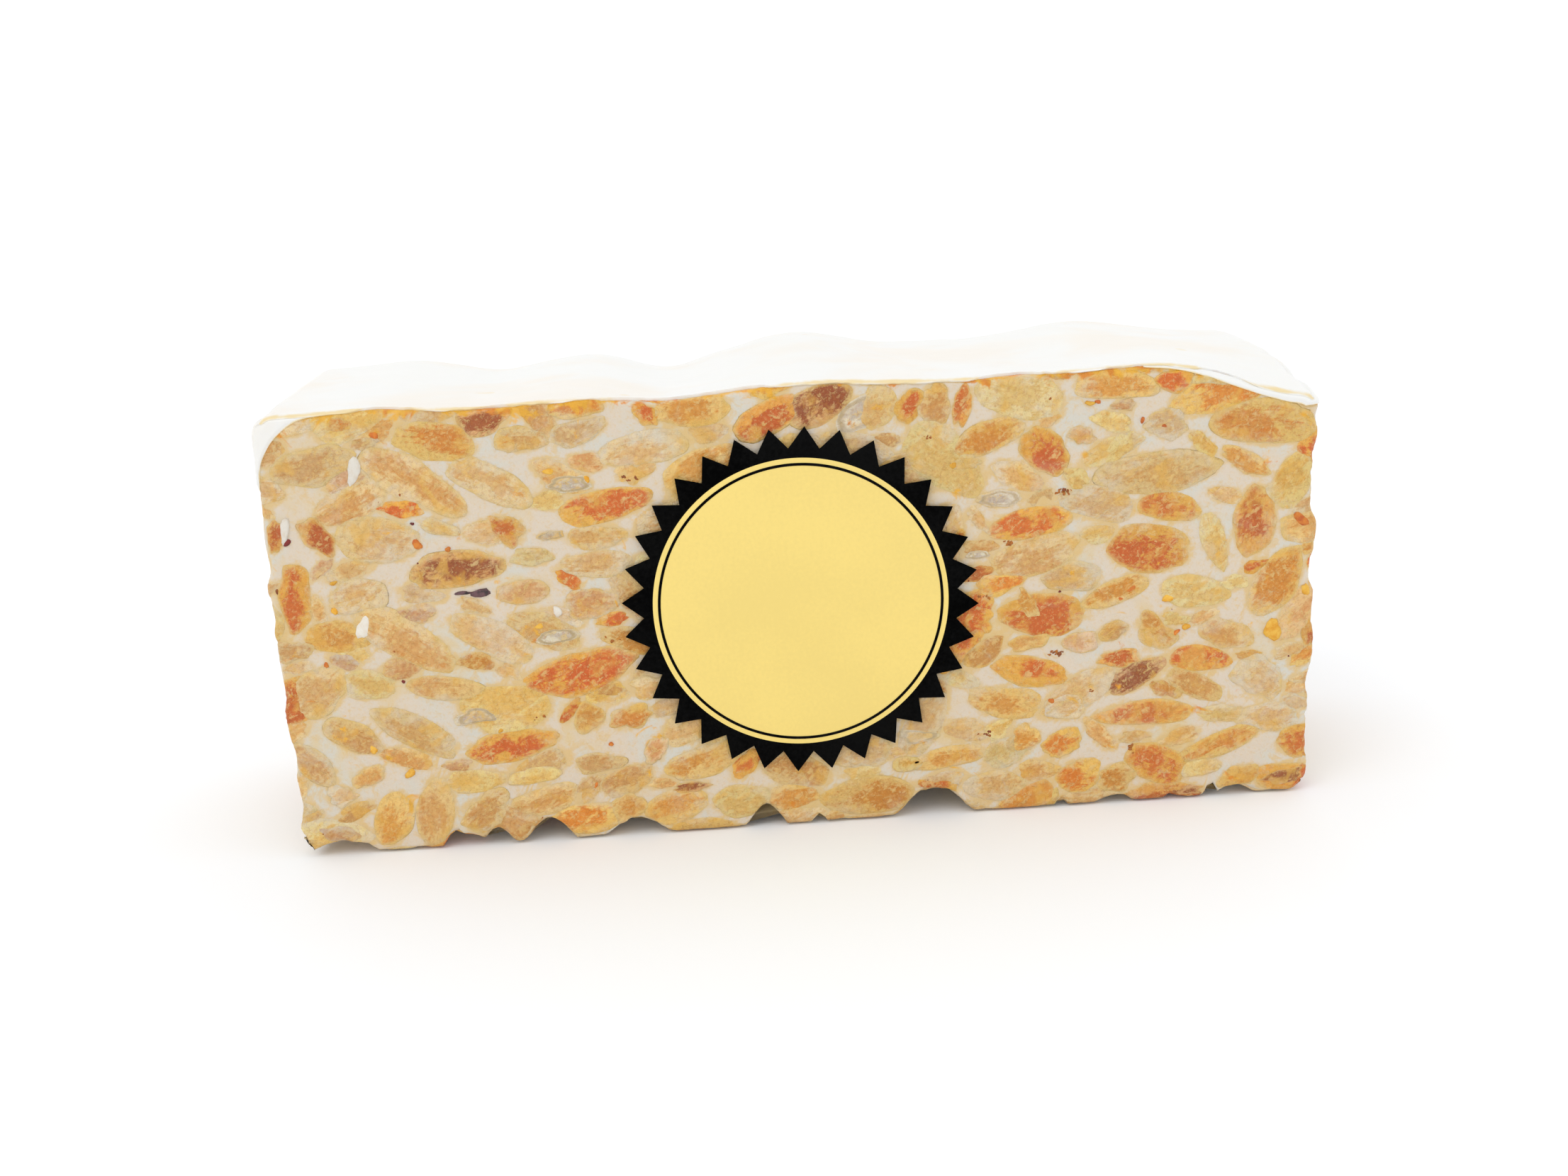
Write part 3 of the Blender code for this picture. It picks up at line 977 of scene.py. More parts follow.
@dataclass(frozen=True)
class NougatFinish:
    """Cooked honey and egg white: cream, with cooler and yellower clouds and a wet shine."""

    cream: tuple = seen(225, 210, 190)
    cool: tuple = seen(218, 213, 200)
    honey: tuple = seen(227, 200, 146)
    stain: tuple = seen(226, 192, 130)
    crust: tuple = seen(240, 180, 66)
    amber: tuple = seen(228, 142, 36)
    cloud: float = 0.0075
    roughness: float = 0.38

    def colour(self, shader: Shader) -> Value:
        """The nougat's own colour, which the almonds' smeared borders share.

        Args:
            shader: the material that it is built in.
        Returns:
            The colour.
        """
        point = shader.place()
        clouds = shader.noise(point, self.cloud, 3.0, 0.6, 0.4)
        elsewhere = shader.shifted(point, (0.31, 0.12, 0.07))
        warm = shader.noise(elsewhere, self.cloud * 1.3, 3.0, 0.62, 0.6)
        base = shader.blend(shader.smooth(clouds, 0.48, 0.64), self.cream, self.cool)
        return shader.blend(shader.smooth(warm, 0.52, 0.68) * 0.75, base, self.honey)

    def crusted(self, shader: Shader, colour: Value) -> Value:
        """The colour with golden stains of honey along the upper edge.

        Args:
            shader: the material that it is built in.
            colour: the colour without them.
        Returns:
            The colour.
        """
        point = shader.place()
        patches = shader.noise(point, 0.0036, 4.0, 0.65, 0.6)
        stain = shader.smooth(shader.attribute("crust") + (patches - 0.5) * 4.2, 0.55, 0.95) * 0.92
        depth = shader.noise(shader.shifted(point, (0.13, 0.41, 0.22)), 0.0030, 3.0, 0.6, 0.5)
        gold = shader.blend(shader.smooth(depth, 0.50, 0.62), self.crust, self.amber)
        return shader.blend(stain, colour, gold)

    def build(self) -> bpy.types.Material:
        """Makes the material.

        Returns:
            The material.
        """
        shader = Shader("nougat")
        point = shader.place()
        near = shader.attribute("near")
        mottle = shader.noise(point, 0.0010, 4.0, 0.7, 0.5)
        stain = shader.smooth(near + (mottle - 0.5) * 1.2, 0.40, 1.05) * 0.85
        colour = shader.blend(stain, self.colour(shader), self.stain)
        speck = shader.smooth(shader.noise(point, 0.0024, 4.0, 0.7, 0.5), 0.55, 0.66) * 0.55
        colour = shader.blend(speck, colour, self.stain)
        colour = self.crusted(shader, colour)
        grit = shader.noise(point, 0.00036, 3.0, 0.7)
        colour = shader.blend((1.0 - shader.smooth(grit, 0.36, 0.48)) * 0.30, colour, self.stain)
        return shader.dress(
            base_color=colour,
            roughness=self.roughness + (mottle - 0.5) * 0.35,
            normal=shader.bump(grit * 0.5 + mottle, 0.00025, 0.8),
            subsurface_weight=0.18,
            subsurface_radius=(1.0, 0.8, 0.55),
            subsurface_scale=0.0022,
            coat_weight=0.3,
            coat_roughness=0.2,
        )


@dataclass(frozen=True)
class AlmondFinish:
    """A cut almond: a pale border, a darker grainy middle with fibres along it, and smeared nougat."""

    border: tuple = seen(231, 199, 130)
    fleck: tuple = seen(234, 202, 134)
    gold: tuple = seen(234, 184, 92)
    scorch: tuple = seen(190, 122, 62)
    hollow_line: tuple = seen(196, 172, 132)
    nougat: NougatFinish = NougatFinish()
    roughness: float = 0.42

    def build(self) -> bpy.types.Material:
        """Makes the material, which reads each almond's own colours and lengthwise grain.

        Over the light flesh lie, in order, the dark core, pale flecks and grit, golden stains, a pale
        border, a hollow's line, smeared nougat and the honey of the upper edge.

        Returns:
            The material.
        """
        shader = Shader("almond")
        point = shader.place()
        rim = shader.attribute("rim")
        split = shader.node("ShaderNodeSeparateXYZ", {}, {0: shader.attribute("look", 1)})
        patch, veil, ring = (shader.output(split, index) for index in range(3))
        seeded = shader.shifted(point, shader.attribute("seed", 1))
        fibre = shader.noise(shader.attribute("grain", 1), 1.0, 3.0, 0.65, 0.8)
        scratch = shader.scratches(point, 0.0040, 0.00050)
        blotch = shader.noise(seeded, 0.0024, 4.0, 0.62, 0.8)
        crumbly = shader.noise(seeded, 0.00070, 4.0, 0.75, 0.6)
        streaks = fibre * 0.35 + scratch * 0.35 + crumbly * 0.30
        dark = self.darkness(shader, shader.attribute("core"), patch, blotch, streaks)
        colour = shader.blend(dark, shader.attribute("light", 0), shader.attribute("dark", 0))
        flecks = crumbly * 0.60 + scratch * 0.40
        colour = shader.blend(shader.smooth(flecks, 0.52, 0.59) * 0.65, colour, self.fleck)
        grit = shader.noise(point, 0.00036, 3.0, 0.7)
        colour = shader.blend(shader.smooth(grit, 0.52, 0.64) * 0.30, colour, self.fleck)
        colour = shader.blend((1.0 - shader.smooth(grit, 0.38, 0.48)) * 0.30, colour, self.scorch)
        elsewhere = shader.shifted(seeded, (0.4, 0.2, 0.9))
        golden = shader.noise(elsewhere, 0.0028, 3.0, 0.6, 0.6) + rim * 0.08
        colour = shader.blend(shader.smooth(golden, 0.56, 0.70) * 0.60, colour, self.gold)
        edge = shader.smooth(rim + (blotch - 0.5) * 0.5 + (crumbly - 0.5) * 0.3, 0.78, 1.0) * 0.75
        colour = shader.blend(edge, colour, self.border)
        line = shader.smooth(rim, 0.55, 0.66) * (1.0 - shader.smooth(rim, 0.72, 0.84)) * ring
        colour = shader.blend(line, colour, self.hollow_line)
        cover = shader.noise(seeded, 0.0034, 4.0, 0.6, 0.5) + (crumbly - 0.5) * 0.5
        cover = shader.smooth(cover + rim * 0.16 + veil * 0.30, 0.62, 0.90)
        smear = (cover * (0.25 + veil) * (1.0 - dark * 0.6)).clamp()
        colour = shader.blend(smear, colour, self.nougat.colour(shader))
        colour = self.nougat.crusted(shader, colour)
        return shader.dress(
            base_color=colour,
            roughness=self.roughness + (crumbly - 0.5) * 0.35,
            normal=shader.bump(streaks + crumbly, 0.00042, 1.0),
            subsurface_weight=0.08,
            subsurface_radius=(1.0, 0.6, 0.3),
            subsurface_scale=0.0010,
            coat_weight=0.12,
            coat_roughness=0.24,
        )

    def darkness(self, shader: Shader, core: Value, patch: Value, blotch: Value,
                 streaks: Value) -> Value:
        """How dark the flesh is: most in a ragged core, with fine dark streaks all over.

        The core's rim is where the way from its middle, shaken by both noises, passes a limit.

        Args:
            shader: the material that it is built in.
            core: 0 in the core's middle and 1 at its rim.
            patch: how much of the dark this almond shows.
            blotch, streaks: noises, wide and fine.
        Returns:
            0 for light to 1 for dark.
        """
        ragged = core * 0.9 + (0.5 - blotch) * 3.2 + (0.5 - streaks) * 4.0
        wide = (1.0 - shader.smooth(ragged, 0.50, 1.15)) * (0.35 + patch * 0.75)
        fine = shader.smooth(streaks, 0.50, 0.58) * 0.30
        return (wide + fine).clamp()


@dataclass(frozen=True)
class WaferFinish:
    """Smooth edible wafer: near white, with faint cream clouds and honey stains along its edges."""

    white: tuple = seen(245, 245, 242)
    cream: tuple = seen(246, 240, 230)
    honey: tuple = seen(240, 214, 150)

    def build(self) -> bpy.types.Material:
        """Makes the material.

        Returns:
            The material.
        """
        shader = Shader("wafer")
        point = shader.place()
        clouds = shader.noise(point, 0.016, 3.0, 0.55, 0.4)
        colour = shader.blend(shader.smooth(clouds, 0.42, 0.66), self.white, self.cream)
        lip = shader.attribute("lip")
        patches = shader.noise(point, 0.004, 3.0, 0.6, 0.4)
        stain = shader.smooth(lip * 0.55 + patches * 0.8, 0.72, 0.98) * 0.8
        colour = shader.blend(stain, colour, self.honey)
        drops = shader.smooth(shader.noise(point, 0.0035, 1.0, 0.5), 0.745, 0.80) * 0.35
        colour = shader.blend(drops, colour, self.honey)
        return shader.dress(
            base_color=colour,
            roughness=0.36 + (patches - 0.5) * 0.2,
            normal=shader.bump(clouds + patches * 0.25, 0.0003, 0.5),
            subsurface_weight=0.1,
            subsurface_radius=(1.0, 0.9, 0.7),
            subsurface_scale=0.001,
            coat_weight=0.2,
            coat_roughness=0.2,
        )


@dataclass(frozen=True)
class PaperFinish:
    """Printed label paper: one ink, with the paper's faint fibre and a soft sheen."""

    name: str
    ink: tuple
    sheen: float
    roughness: float = 0.5

    def build(self) -> bpy.types.Material:
        """Makes the material.

        Returns:
            The material.
        """
        shader = Shader(self.name)
        point = shader.place()
        fibre = shader.noise(point, 0.00035, 3.0, 0.6)
        cloud = shader.noise(point, 0.012, 2.0, 0.5)
        faded = tuple(0.94 * c + 0.004 for c in self.ink[:3]) + (1.0,)
        colour = shader.blend(shader.smooth(cloud * 0.6 + fibre * 0.4, 0.35, 0.65), self.ink, faded)
        return shader.dress(
            base_color=colour,
            roughness=self.roughness + (fibre - 0.5) * 0.12,
            normal=shader.bump(fibre, 0.00004, 0.5),
            specular_ior_level=self.sheen,
        )


@dataclass(frozen=True)
class CrumbFinish:
    """Small broken bits: each has its own colour, slightly mottled."""

    def build(self) -> bpy.types.Material:
        """Makes the material.

        Returns:
            The material.
        """
        shader = Shader("crumb")
        fine = shader.noise(shader.place(), 0.0006, 3.0, 0.65)
        light, dark = shader.attribute("light", 0), shader.attribute("dark", 0)
        colour = shader.blend(shader.smooth(fine, 0.35, 0.7), light, dark)
        return shader.dress(
            base_color=colour,
            roughness=0.5 + (fine - 0.5) * 0.2,
            normal=shader.bump(fine, 0.0002, 0.7),
            coat_weight=0.15,
            coat_roughness=0.3,
        )


# -------------------------------------------------------------------------------------- the nougat


@dataclass
class NougatBody:
    """The nougat between the almonds: the bar's whole closed surface with a fine hand-cut relief."""

    form: BarForm
    layout: KernelLayout
    spacing: float = 0.00095
    sunk: float = 0.00032
    waves: float = 0.00006
    grit: float = 0.00005

    def stations(self, low: float, high: float) -> np.ndarray:
        """Places of the grid's lines along one axis: close together near the edges, then even.

        Args:
            low, high: the plain box's ends.
        Returns:
            The places.
        """
        edge = np.array([0.0, 0.28, 0.55, 0.8, 1.0]) * self.form.cut_edge
        count = round((high - low - 2 * self.form.cut_edge) / self.spacing)
        even = np.linspace(low + self.form.cut_edge, high - self.form.cut_edge, count + 1)
        return np.concatenate((low + edge[:-1], even, high - edge[-2::-1]))

    def lattice(self) -> tuple[np.ndarray, np.ndarray]:
        """The plain box's six faces as one closed grid.

        Each face is a grid of line numbers, and points that faces share are merged by their numbers.

        Returns:
            The points and the four-sided faces, which look outwards.
        """
        form = self.form
        lines = [self.stations(-form.length / 2, form.length / 2),
                 self.stations(-form.depth / 2, form.depth / 2), self.stations(0.0, form.top)]
        count = np.array([len(line) for line in lines])
        keys, faces, start = [], [], 0
        for axis in range(3):
            first, second = (axis + 1) % 3, (axis + 2) % 3
            for far in (0, 1):
                grid = np.zeros((count[first], count[second], 3), dtype=np.int64)
                grid[..., first] = np.arange(count[first])[:, None]
                grid[..., second] = np.arange(count[second])[None, :]
                grid[..., axis] = far * (count[axis] - 1)
                quads = grid_faces(count[first], count[second], False) + start
                faces.append(quads if not far else quads[:, ::-1])
                keys.append(grid.reshape(-1, 3))
                start += count[first] * count[second]
        numbers = np.concatenate(keys)
        code = (numbers[:, 0] * count[1] + numbers[:, 1]) * count[2] + numbers[:, 2]
        _, kept, merged = np.unique(code, return_index=True, return_inverse=True)
        numbers = numbers[kept]
        points = np.stack([lines[axis][numbers[:, axis]] for axis in range(3)], axis=1)
        return points, merged.ravel()[np.concatenate(faces)]

    def unfold(self, box: np.ndarray) -> tuple[np.ndarray, np.ndarray]:
        """(along, up) of points of the plain box; the underside counts as the front's fold.

        Args:
            box: the points.
        Returns:
            along and up of each.
        """
        form = self.form
        x, y, z = box.T
        half_length, half_depth = form.length / 2, form.depth / 2
        front, back = x + half_length, form.length + form.depth + half_length - x
        right, left = form.length + y + half_depth, form.girth - (y + half_depth)
        sides = [z <= 0, y <= -half_depth, y >= half_depth, x >= half_length, x <= -half_length]
        along = np.select(sides, [front, front, back, right, left], front)
        return along, np.where(z <= 0, -(y + half_depth), z)

    def build(self, finish: bpy.types.Material) -> None:
        """Makes the piece: the surface sinks a little under the outer shape, by waves and grit.

        Args:
            finish: its material.
        """
        box, faces = self.lattice()
        along, up = self.unfold(box)
        near = self.layout.nearness(along, self.form.real_height(along, up))
        points = self.form.settle(self.form.round_edges(box))
        waves = self.waves * random_field(points, 0.009, 3, 2)
        grit = self.grit * random_field(points, 0.0022, 5, 2)
        points = points + self.inward(points, faces) * (self.sunk - waves - grit)[:, None]
        points[:, 2] = np.maximum(points[:, 2], 0.0)
        add_piece("nougat", points, [faces], finish, "nougat_block",
                  {"near": near, "crust": self.form.crust(points)})

    def inward(self, points: np.ndarray, faces: np.ndarray) -> np.ndarray:
        """Unit vectors into the bar: the faces' normals, summed at each point and turned round.

        Args:
            points, faces: the surface.
        Returns:
            One vector a point.
        """
        corner = points[faces]
        normal = np.cross(corner[:, 2] - corner[:, 0], corner[:, 3] - corner[:, 1])
        total = np.zeros_like(points)
        for index in range(4):
            np.add.at(total, faces[:, index], normal)
        return -total / np.maximum(np.linalg.norm(total, axis=1, keepdims=True), 1e-12)


@dataclass
class KernelSet:
    """The cut almonds, as closed lenses: a low crown that stands just out of the nougat."""

    form: BarForm
    kernels: list
    name: str
    seed: int
    rings: tuple = (0.22, 0.42, 0.60, 0.75, 0.87, 0.95, 1.0)
    spokes: int = 40
    crown: tuple = (-0.00003, -0.00024)  # how far out of the bar's shape ranks 0 and 1 lie
    shake: float = 0.00002
    rough: float = 0.00003
    dish: float = 0.00003
    swell: float = 1.05
    sink: float = 0.00034  # how far the rim dips into the nougat
    under: float = 0.00002  # all stays at least this far inside the bar's shape
    root: float = 0.0022
    grain: tuple = (0.0030, 0.00050)  # length and width of a fibre
    whole: float = 0.0065  # half length from which an almond counts as whole
    chopped: float = 1.5  # how much more the outline of a chopped one is shaken
    shade: tuple = (0.91, 1.14)  # the least and the most of an almond's brightness, against its roast's
    warmth: tuple = (0.0, 0.06, 0.26)  # by what share its red, green and blue may be off its roast's

    def outline(self, draw: np.random.Generator, turn: np.ndarray) -> tuple[np.ndarray, np.ndarray]:
        """The outlines of all almonds, for half sizes of 1.

        Each is a circle that is pinched towards one end, pointed or blunt at both, bent, and shaken
        by waves of 2 to 11 to the turn. Small pieces are chopped, so their waves are larger.

        Args:
            draw: the random numbers.
            turn: the angles.
        Returns:
            Lengthwise and crosswise offsets, one row an almond.
        """
        count = len(self.kernels)
        pinch = draw.uniform(-0.28, 0.28, (count, 1))
        point = draw.uniform(-0.42, 0.34, (count, 1))
        bend = draw.uniform(-0.22, 0.22, (count, 1))
        half_length = kernel_columns(self.kernels)[2][:, None]
        small = smooth_step((self.whole - half_length) / self.whole * 2.0)
        radius = 1.0
        for waves, size in ((2, 0.06), (3, 0.08), (5, 0.05), (7, 0.035), (11, 0.02)):
            wave = np.sin(waves * turn + draw.uniform(0, 6.28, (count, 1)))
            radius = radius + draw.uniform(0, size, (count, 1)) * (1.0 + self.chopped * small) * wave
        cos, sin = np.cos(turn), np.sin(turn)
        width = np.sign(sin) * np.abs(sin) ** (1.0 + point) * (1.0 - pinch * cos)
        return radius * cos, radius * width + bend * (cos ** 2 - 0.5)

    def build(self, finish: bpy.types.Material) -> None:
        """Makes the piece: rings from the middle to the rim, and a cone under it that closes it.

        A ring is the outline times its share of the way out. The crown lies at the almond's rank and
        falls by the square of that share, and by its 8th power where the rim dips into the nougat.

        Args:
            finish: the almonds' material.
        """
        draw = np.random.default_rng(self.seed)
        turn = np.linspace(0.0, 2 * math.pi, self.spokes, endpoint=False)[None, :]
        lengthwise, crosswise = (side[:, None, :] for side in self.outline(draw, turn))
        columns = kernel_columns(self.kernels)[:, :, None, None]
        along, tall, half_length, half_width, tilt, rank = columns
        each = (len(self.kernels), 1, 1)
        radii = np.concatenate(([0.0], self.rings))[None, :, None]
        u = self.swell * half_length * lengthwise * radii
        w = self.swell * half_width * crosswise * radii
        rim = np.broadcast_to(radii, u.shape)
        core = np.hypot(
            (rim * lengthwise - draw.uniform(-0.32, 0.32, each)) / draw.uniform(0.60, 0.95, each),
            (rim * crosswise - draw.uniform(-0.25, 0.25, each)) / draw.uniform(0.55, 0.90, each))
        crown = self.crown[0] + (self.crown[1] - self.crown[0]) * rank
        crown = crown + draw.uniform(-1, 1, each) * self.shake
        lift = crown - self.dish * rim ** 2 - self.sink * rim ** 8
        seeds = np.broadcast_to(draw.uniform(0.0, 1.0, each), u.shape)
        s = along + u * np.cos(tilt) - w * np.sin(tilt)
        v = tall + u * np.sin(tilt) + w * np.cos(tilt)
        points, normals = self.form.surface_and_normal(s.ravel(), v.ravel())
        lift = lift.ravel() + self.rough * random_field(points, 0.0016, self.seed + 1, 2)
        shell = points + normals * np.minimum(lift, -self.under)[:, None]
        shell[:, 2] = np.maximum(shell[:, 2], 0.0)
        middle, deep = self.form.surface_and_normal(along.ravel(), tall.ravel())
        values = {"u": u, "w": w, "rim": rim, "core": core, "seed": seeds}
        self.add(draw, shell.reshape(*u.shape, 3), middle - deep * self.root, values, finish)

    def add(self, draw: np.random.Generator, shell: np.ndarray, roots: np.ndarray, values: dict,
            finish: bpy.types.Material) -> None:
        """Joins the almonds into one mesh with the values that their finish reads.

        Args:
            draw: the random numbers.
            shell: the crown's points by almond, ring and spoke; ring 0 is the middle.
            roots: the lowest point of each almond.
            values: at the shell's points, the lengthwise and crosswise offsets u and w, the ways from
                the middle (rim) and from the dark core (core), and each almond's random number (seed).
            finish: the almonds' material.
        """
        count, spokes, ring_count = len(self.kernels), self.spokes, len(self.rings)
        points = np.concatenate((shell[:, 0, 0], shell[:, 1:].reshape(-1, 3), roots))

        def spread(name: str, root_value: float) -> np.ndarray:
            """Lays values of the shell out in the order of the mesh's points.

            Args:
                name: which values.
                root_value: what the roots get.
            Returns:
                One value a point.
            """
            shell_values = values[name]
            return np.concatenate(
                (shell_values[:, 0, 0], shell_values[:, 1:].ravel(), np.full(count, root_value)))

        seed = spread("seed", 0.0)
        grain = np.stack(
            (spread("u", 0.0) / self.grain[0], spread("w", 0.0) / self.grain[1], seed * 40.0), axis=1)
        each = np.arange(count)
        owner = np.concatenate((each, np.repeat(each, ring_count * spokes), each))
        looks = [k.roast.value for k in self.kernels]
        shade = draw.uniform(*self.shade, (count, 1))
        light = np.array([seen(*look.light) for look in looks])
        dark = np.array([seen(*look.dark) for look in looks])
        look = np.array([(look.patch, look.veil, look.ring) for look in looks])
        look[:, :2] *= draw.uniform(0.65, 1.3, (count, 2))
        tint = shade * (1.0 - draw.uniform(-1.0, 1.0, (count, 1)) * np.array(self.warmth))
        light[:, :3] *= tint
        dark[:, :3] *= tint
        attributes = {
            "rim": spread("rim", 1.0),
            "core": spread("core", 2.0),
            "grain": grain,
            "crust": self.form.crust(points),
            "seed": np.stack((seed, seed * 0.7, seed * 0.3), axis=1),
            "light": light[owner],
            "dark": dark[owner],
            "look": look[owner],
        }
        faces = ball_faces(count, ring_count, spokes)
        add_piece(self.name, points, faces, finish, "nougat_block", attributes)


# --------------------------------------------------------------------------------------- the wafer


@dataclass
class WaferLid:
    """The wafer over the top: a thin closed sheet whose lower edge runs unevenly down both cut faces."""

    form: BarForm
    margin: float = 0.0001
    lift: float = 0.00030
    thickness: float = 0.0007
    ripple: float = 0.00005
    drop: tuple = (-0.0030, 0.0004)  # the least and the most that the edge hangs down a cut face
    end_reach: float = 0.010  # how near an end it hangs down fully, and over which it comes to that
    skirt: tuple = (0.0012, 0.0016)  # how far in over the top the sheet starts to thin, and over which
    lip: float = 0.0022  # how far in from its edges honey may stain it
    lines: int = 300
    rows: int = 90

    def edge_drop(self, x: np.ndarray, seed: int) -> np.ndarray:
        """How far the sheet's edge reaches down a cut face: random waves, and furthest near the ends.

        Args:
            x: the places.
            seed: chooses the waves.
        Returns:
            The lengths; negative where the edge stays on the top.
        """
        wave = np.clip(0.55 + 0.5 * random_field(along_line(x), 0.011, seed, 4), 0.0, 1.0)
        from_end = self.form.length / 2 - np.abs(x)
        wave += (1.0 - wave) * (1.0 - smooth_step((from_end - self.end_reach) / self.end_reach))
        return self.drop[0] + (self.drop[1] - self.drop[0]) * wave

    def shares(self) -> np.ndarray:
        """Places of the rows across the top, 0 to 1, closer together near both edges.

        They go by the cosine of an even turn, made steeper at both ends by its own root.

        Returns:
            The places.
        """
        swing = np.cos(math.pi * np.linspace(0.0, 1.0, self.rows))
        share = 0.5 - 0.5 * swing * (0.35 + 0.65 * np.abs(swing) ** 0.5)
        return (share - share[0]) / (share[-1] - share[0])

    def build(self, finish: bpy.types.Material) -> None:
        """Makes the piece: an outer grid from edge to edge over the top, an inner one, and rims.

        Args:
            finish: the wafer's material.
        """
        form = self.form
        along = np.linspace(self.margin, form.length - self.margin, self.lines)
        x = along - form.length / 2
        edge = form.upper_edge(along)
        start = edge - self.edge_drop(x, 21)
        stop = edge + form.depth + self.edge_drop(x, 22)
        tall = start[:, None] + (stop - start)[:, None] * self.shares()
        s = np.broadcast_to(along[:, None], tall.shape)
        past = np.maximum(edge[:, None] - tall, tall - edge[:, None] - form.depth)
        skirt = np.clip((past + self.skirt[0]) / self.skirt[1], 0.0, 1.0)
        end = np.minimum(s - self.margin, form.length - self.margin - s)
        outer = self.lift * (1.0 - 0.6 * skirt) * (0.5 + 0.5 * smooth_step(end / 0.002))
        lip = np.clip(1.0 - np.abs(past + 0.0002) / self.lip, 0.0, 1.0)
        self.sheet("wafer", s, tall, outer, lip, finish)

    def sheet(self, name: str, along: np.ndarray, tall: np.ndarray, lift: np.ndarray, lip: np.ndarray,
              finish: bpy.types.Material) -> None:
        """Makes a closed sheet over a grid of places: an outer side, an inner one and a rim all round.

        Args:
            name: the piece's name.
            along, tall: the grid of places.
            lift: how far the outer side stands out of the bar's shape.
            lip: 1 near the sheet's edges, for the honey that stains it.
            finish: the wafer's material.
        """
        points, normals = self.form.surface_and_normal(along.ravel(), tall.ravel())
        outer = lift.ravel() + self.ripple * random_field(points, 0.012, 31, 2)
        over = points + normals * outer[:, None]
        under = points - normals * self.thickness
        lines, rows = tall.shape
        count = lines * rows
        loop = np.concatenate((
            np.arange(rows), np.arange(1, lines) * rows + rows - 1,
            (lines - 1) * rows + np.arange(rows - 2, -1, -1), np.arange(lines - 2, 0, -1) * rows))
        after = np.roll(loop, -1)
        rim = np.stack((loop, loop + count, after + count, after), axis=1)
        top_faces = grid_faces(lines, rows, False)
        faces = [top_faces, top_faces[:, ::-1] + count, rim]
        add_piece(name, np.concatenate((over, under)), faces, finish, "wafer_sheet",
                  {"lip": np.tile(lip.ravel(), 2)}, 60.0)


@dataclass
class WaferFold(WaferLid):
    """The wafer where it wraps an end: it hangs down the end and a little way round both corners."""

    start: float = 0.0  # where the end starts, along
    corner_reach: float = 0.006
    hang: float = 0.011
    front_hang: float = 0.011  # how far it hangs at the corners
    steep: float = 1.0  # below 1 the edge drops sooner
    corner_blend: float = 0.012  # over which one hang becomes the other
    tuck: float = 0.0015  # how far it goes in under the lid
    rim: float = 0.0012  # over which its edges thin out
    fold_lip: float = 0.0009

    def build_fold(self, name: str, seed: int, finish: bpy.types.Material) -> None:
        """Makes the piece: the lower edge rises in an arc of a circle from the end to the cut faces.

        Args:
            name: the piece's name.
            seed: chooses the waves of the lower edge.
            finish: the wafer's material.
        """
        stop = self.start + self.form.depth
        along = np.linspace(self.start - self.corner_reach, stop + self.corner_reach, self.lines)
        edge = self.form.upper_edge(along)
        from_side = np.minimum(along - along[0], along[-1] - along)
        inside = np.clip(from_side / self.corner_reach, 0.0, 1.0)
        arc = (1.0 - np.sqrt(1.0 - inside ** 2)) ** self.steep
        waves = 1.0 + 0.15 * random_field(along_line(along), 0.009, seed, 3)
        from_corner = np.minimum(along - self.start, stop - along)
        on_end = smooth_step(from_corner / self.corner_blend)
        hang = self.front_hang + (self.hang - self.front_hang) * on_end
        low = edge - 0.0002 - hang * arc * waves
        high = edge + self.tuck
        tall = low[:, None] + (high - low)[:, None] * np.linspace(0.0, 1.0, self.rows)
        s = np.broadcast_to(along[:, None], tall.shape)
        border = np.minimum(tall - low[:, None], from_side[:, None])
        below_lid = 1.0 - smooth_step((tall - edge[:, None]) / 0.0010 + 1.0)
        outer = -0.00004 + self.lift * smooth_step(border / self.rim) * below_lid
        lip = np.clip(1.0 - (tall - low[:, None]) / self.fold_lip, 0.0, 1.0)
        self.sheet(name, s, tall, outer, lip, finish)


# ------------------------------------------------------------------------------- crumbs and specks


class Crumb(Enum):
    """Kinds of small bits in the cut face, and the painted shade of its small hollows: light and dark
    screen colours.
    """

    YELLOW = ((240, 190, 84), (226, 160, 56))
    ORANGE = ((222, 138, 62), (196, 100, 40))
    BROWN = ((184, 116, 56), (138, 78, 38))
    RED = ((140, 58, 44), (92, 36, 32))
    # Painted shade: the dark inside small hollows of the cut face, laid on as flat dark lumps.
    HOLLOW_SHADE = ((112, 84, 88), (52, 38, 44))
    WHITE = ((230, 224, 212), (224, 213, 196))


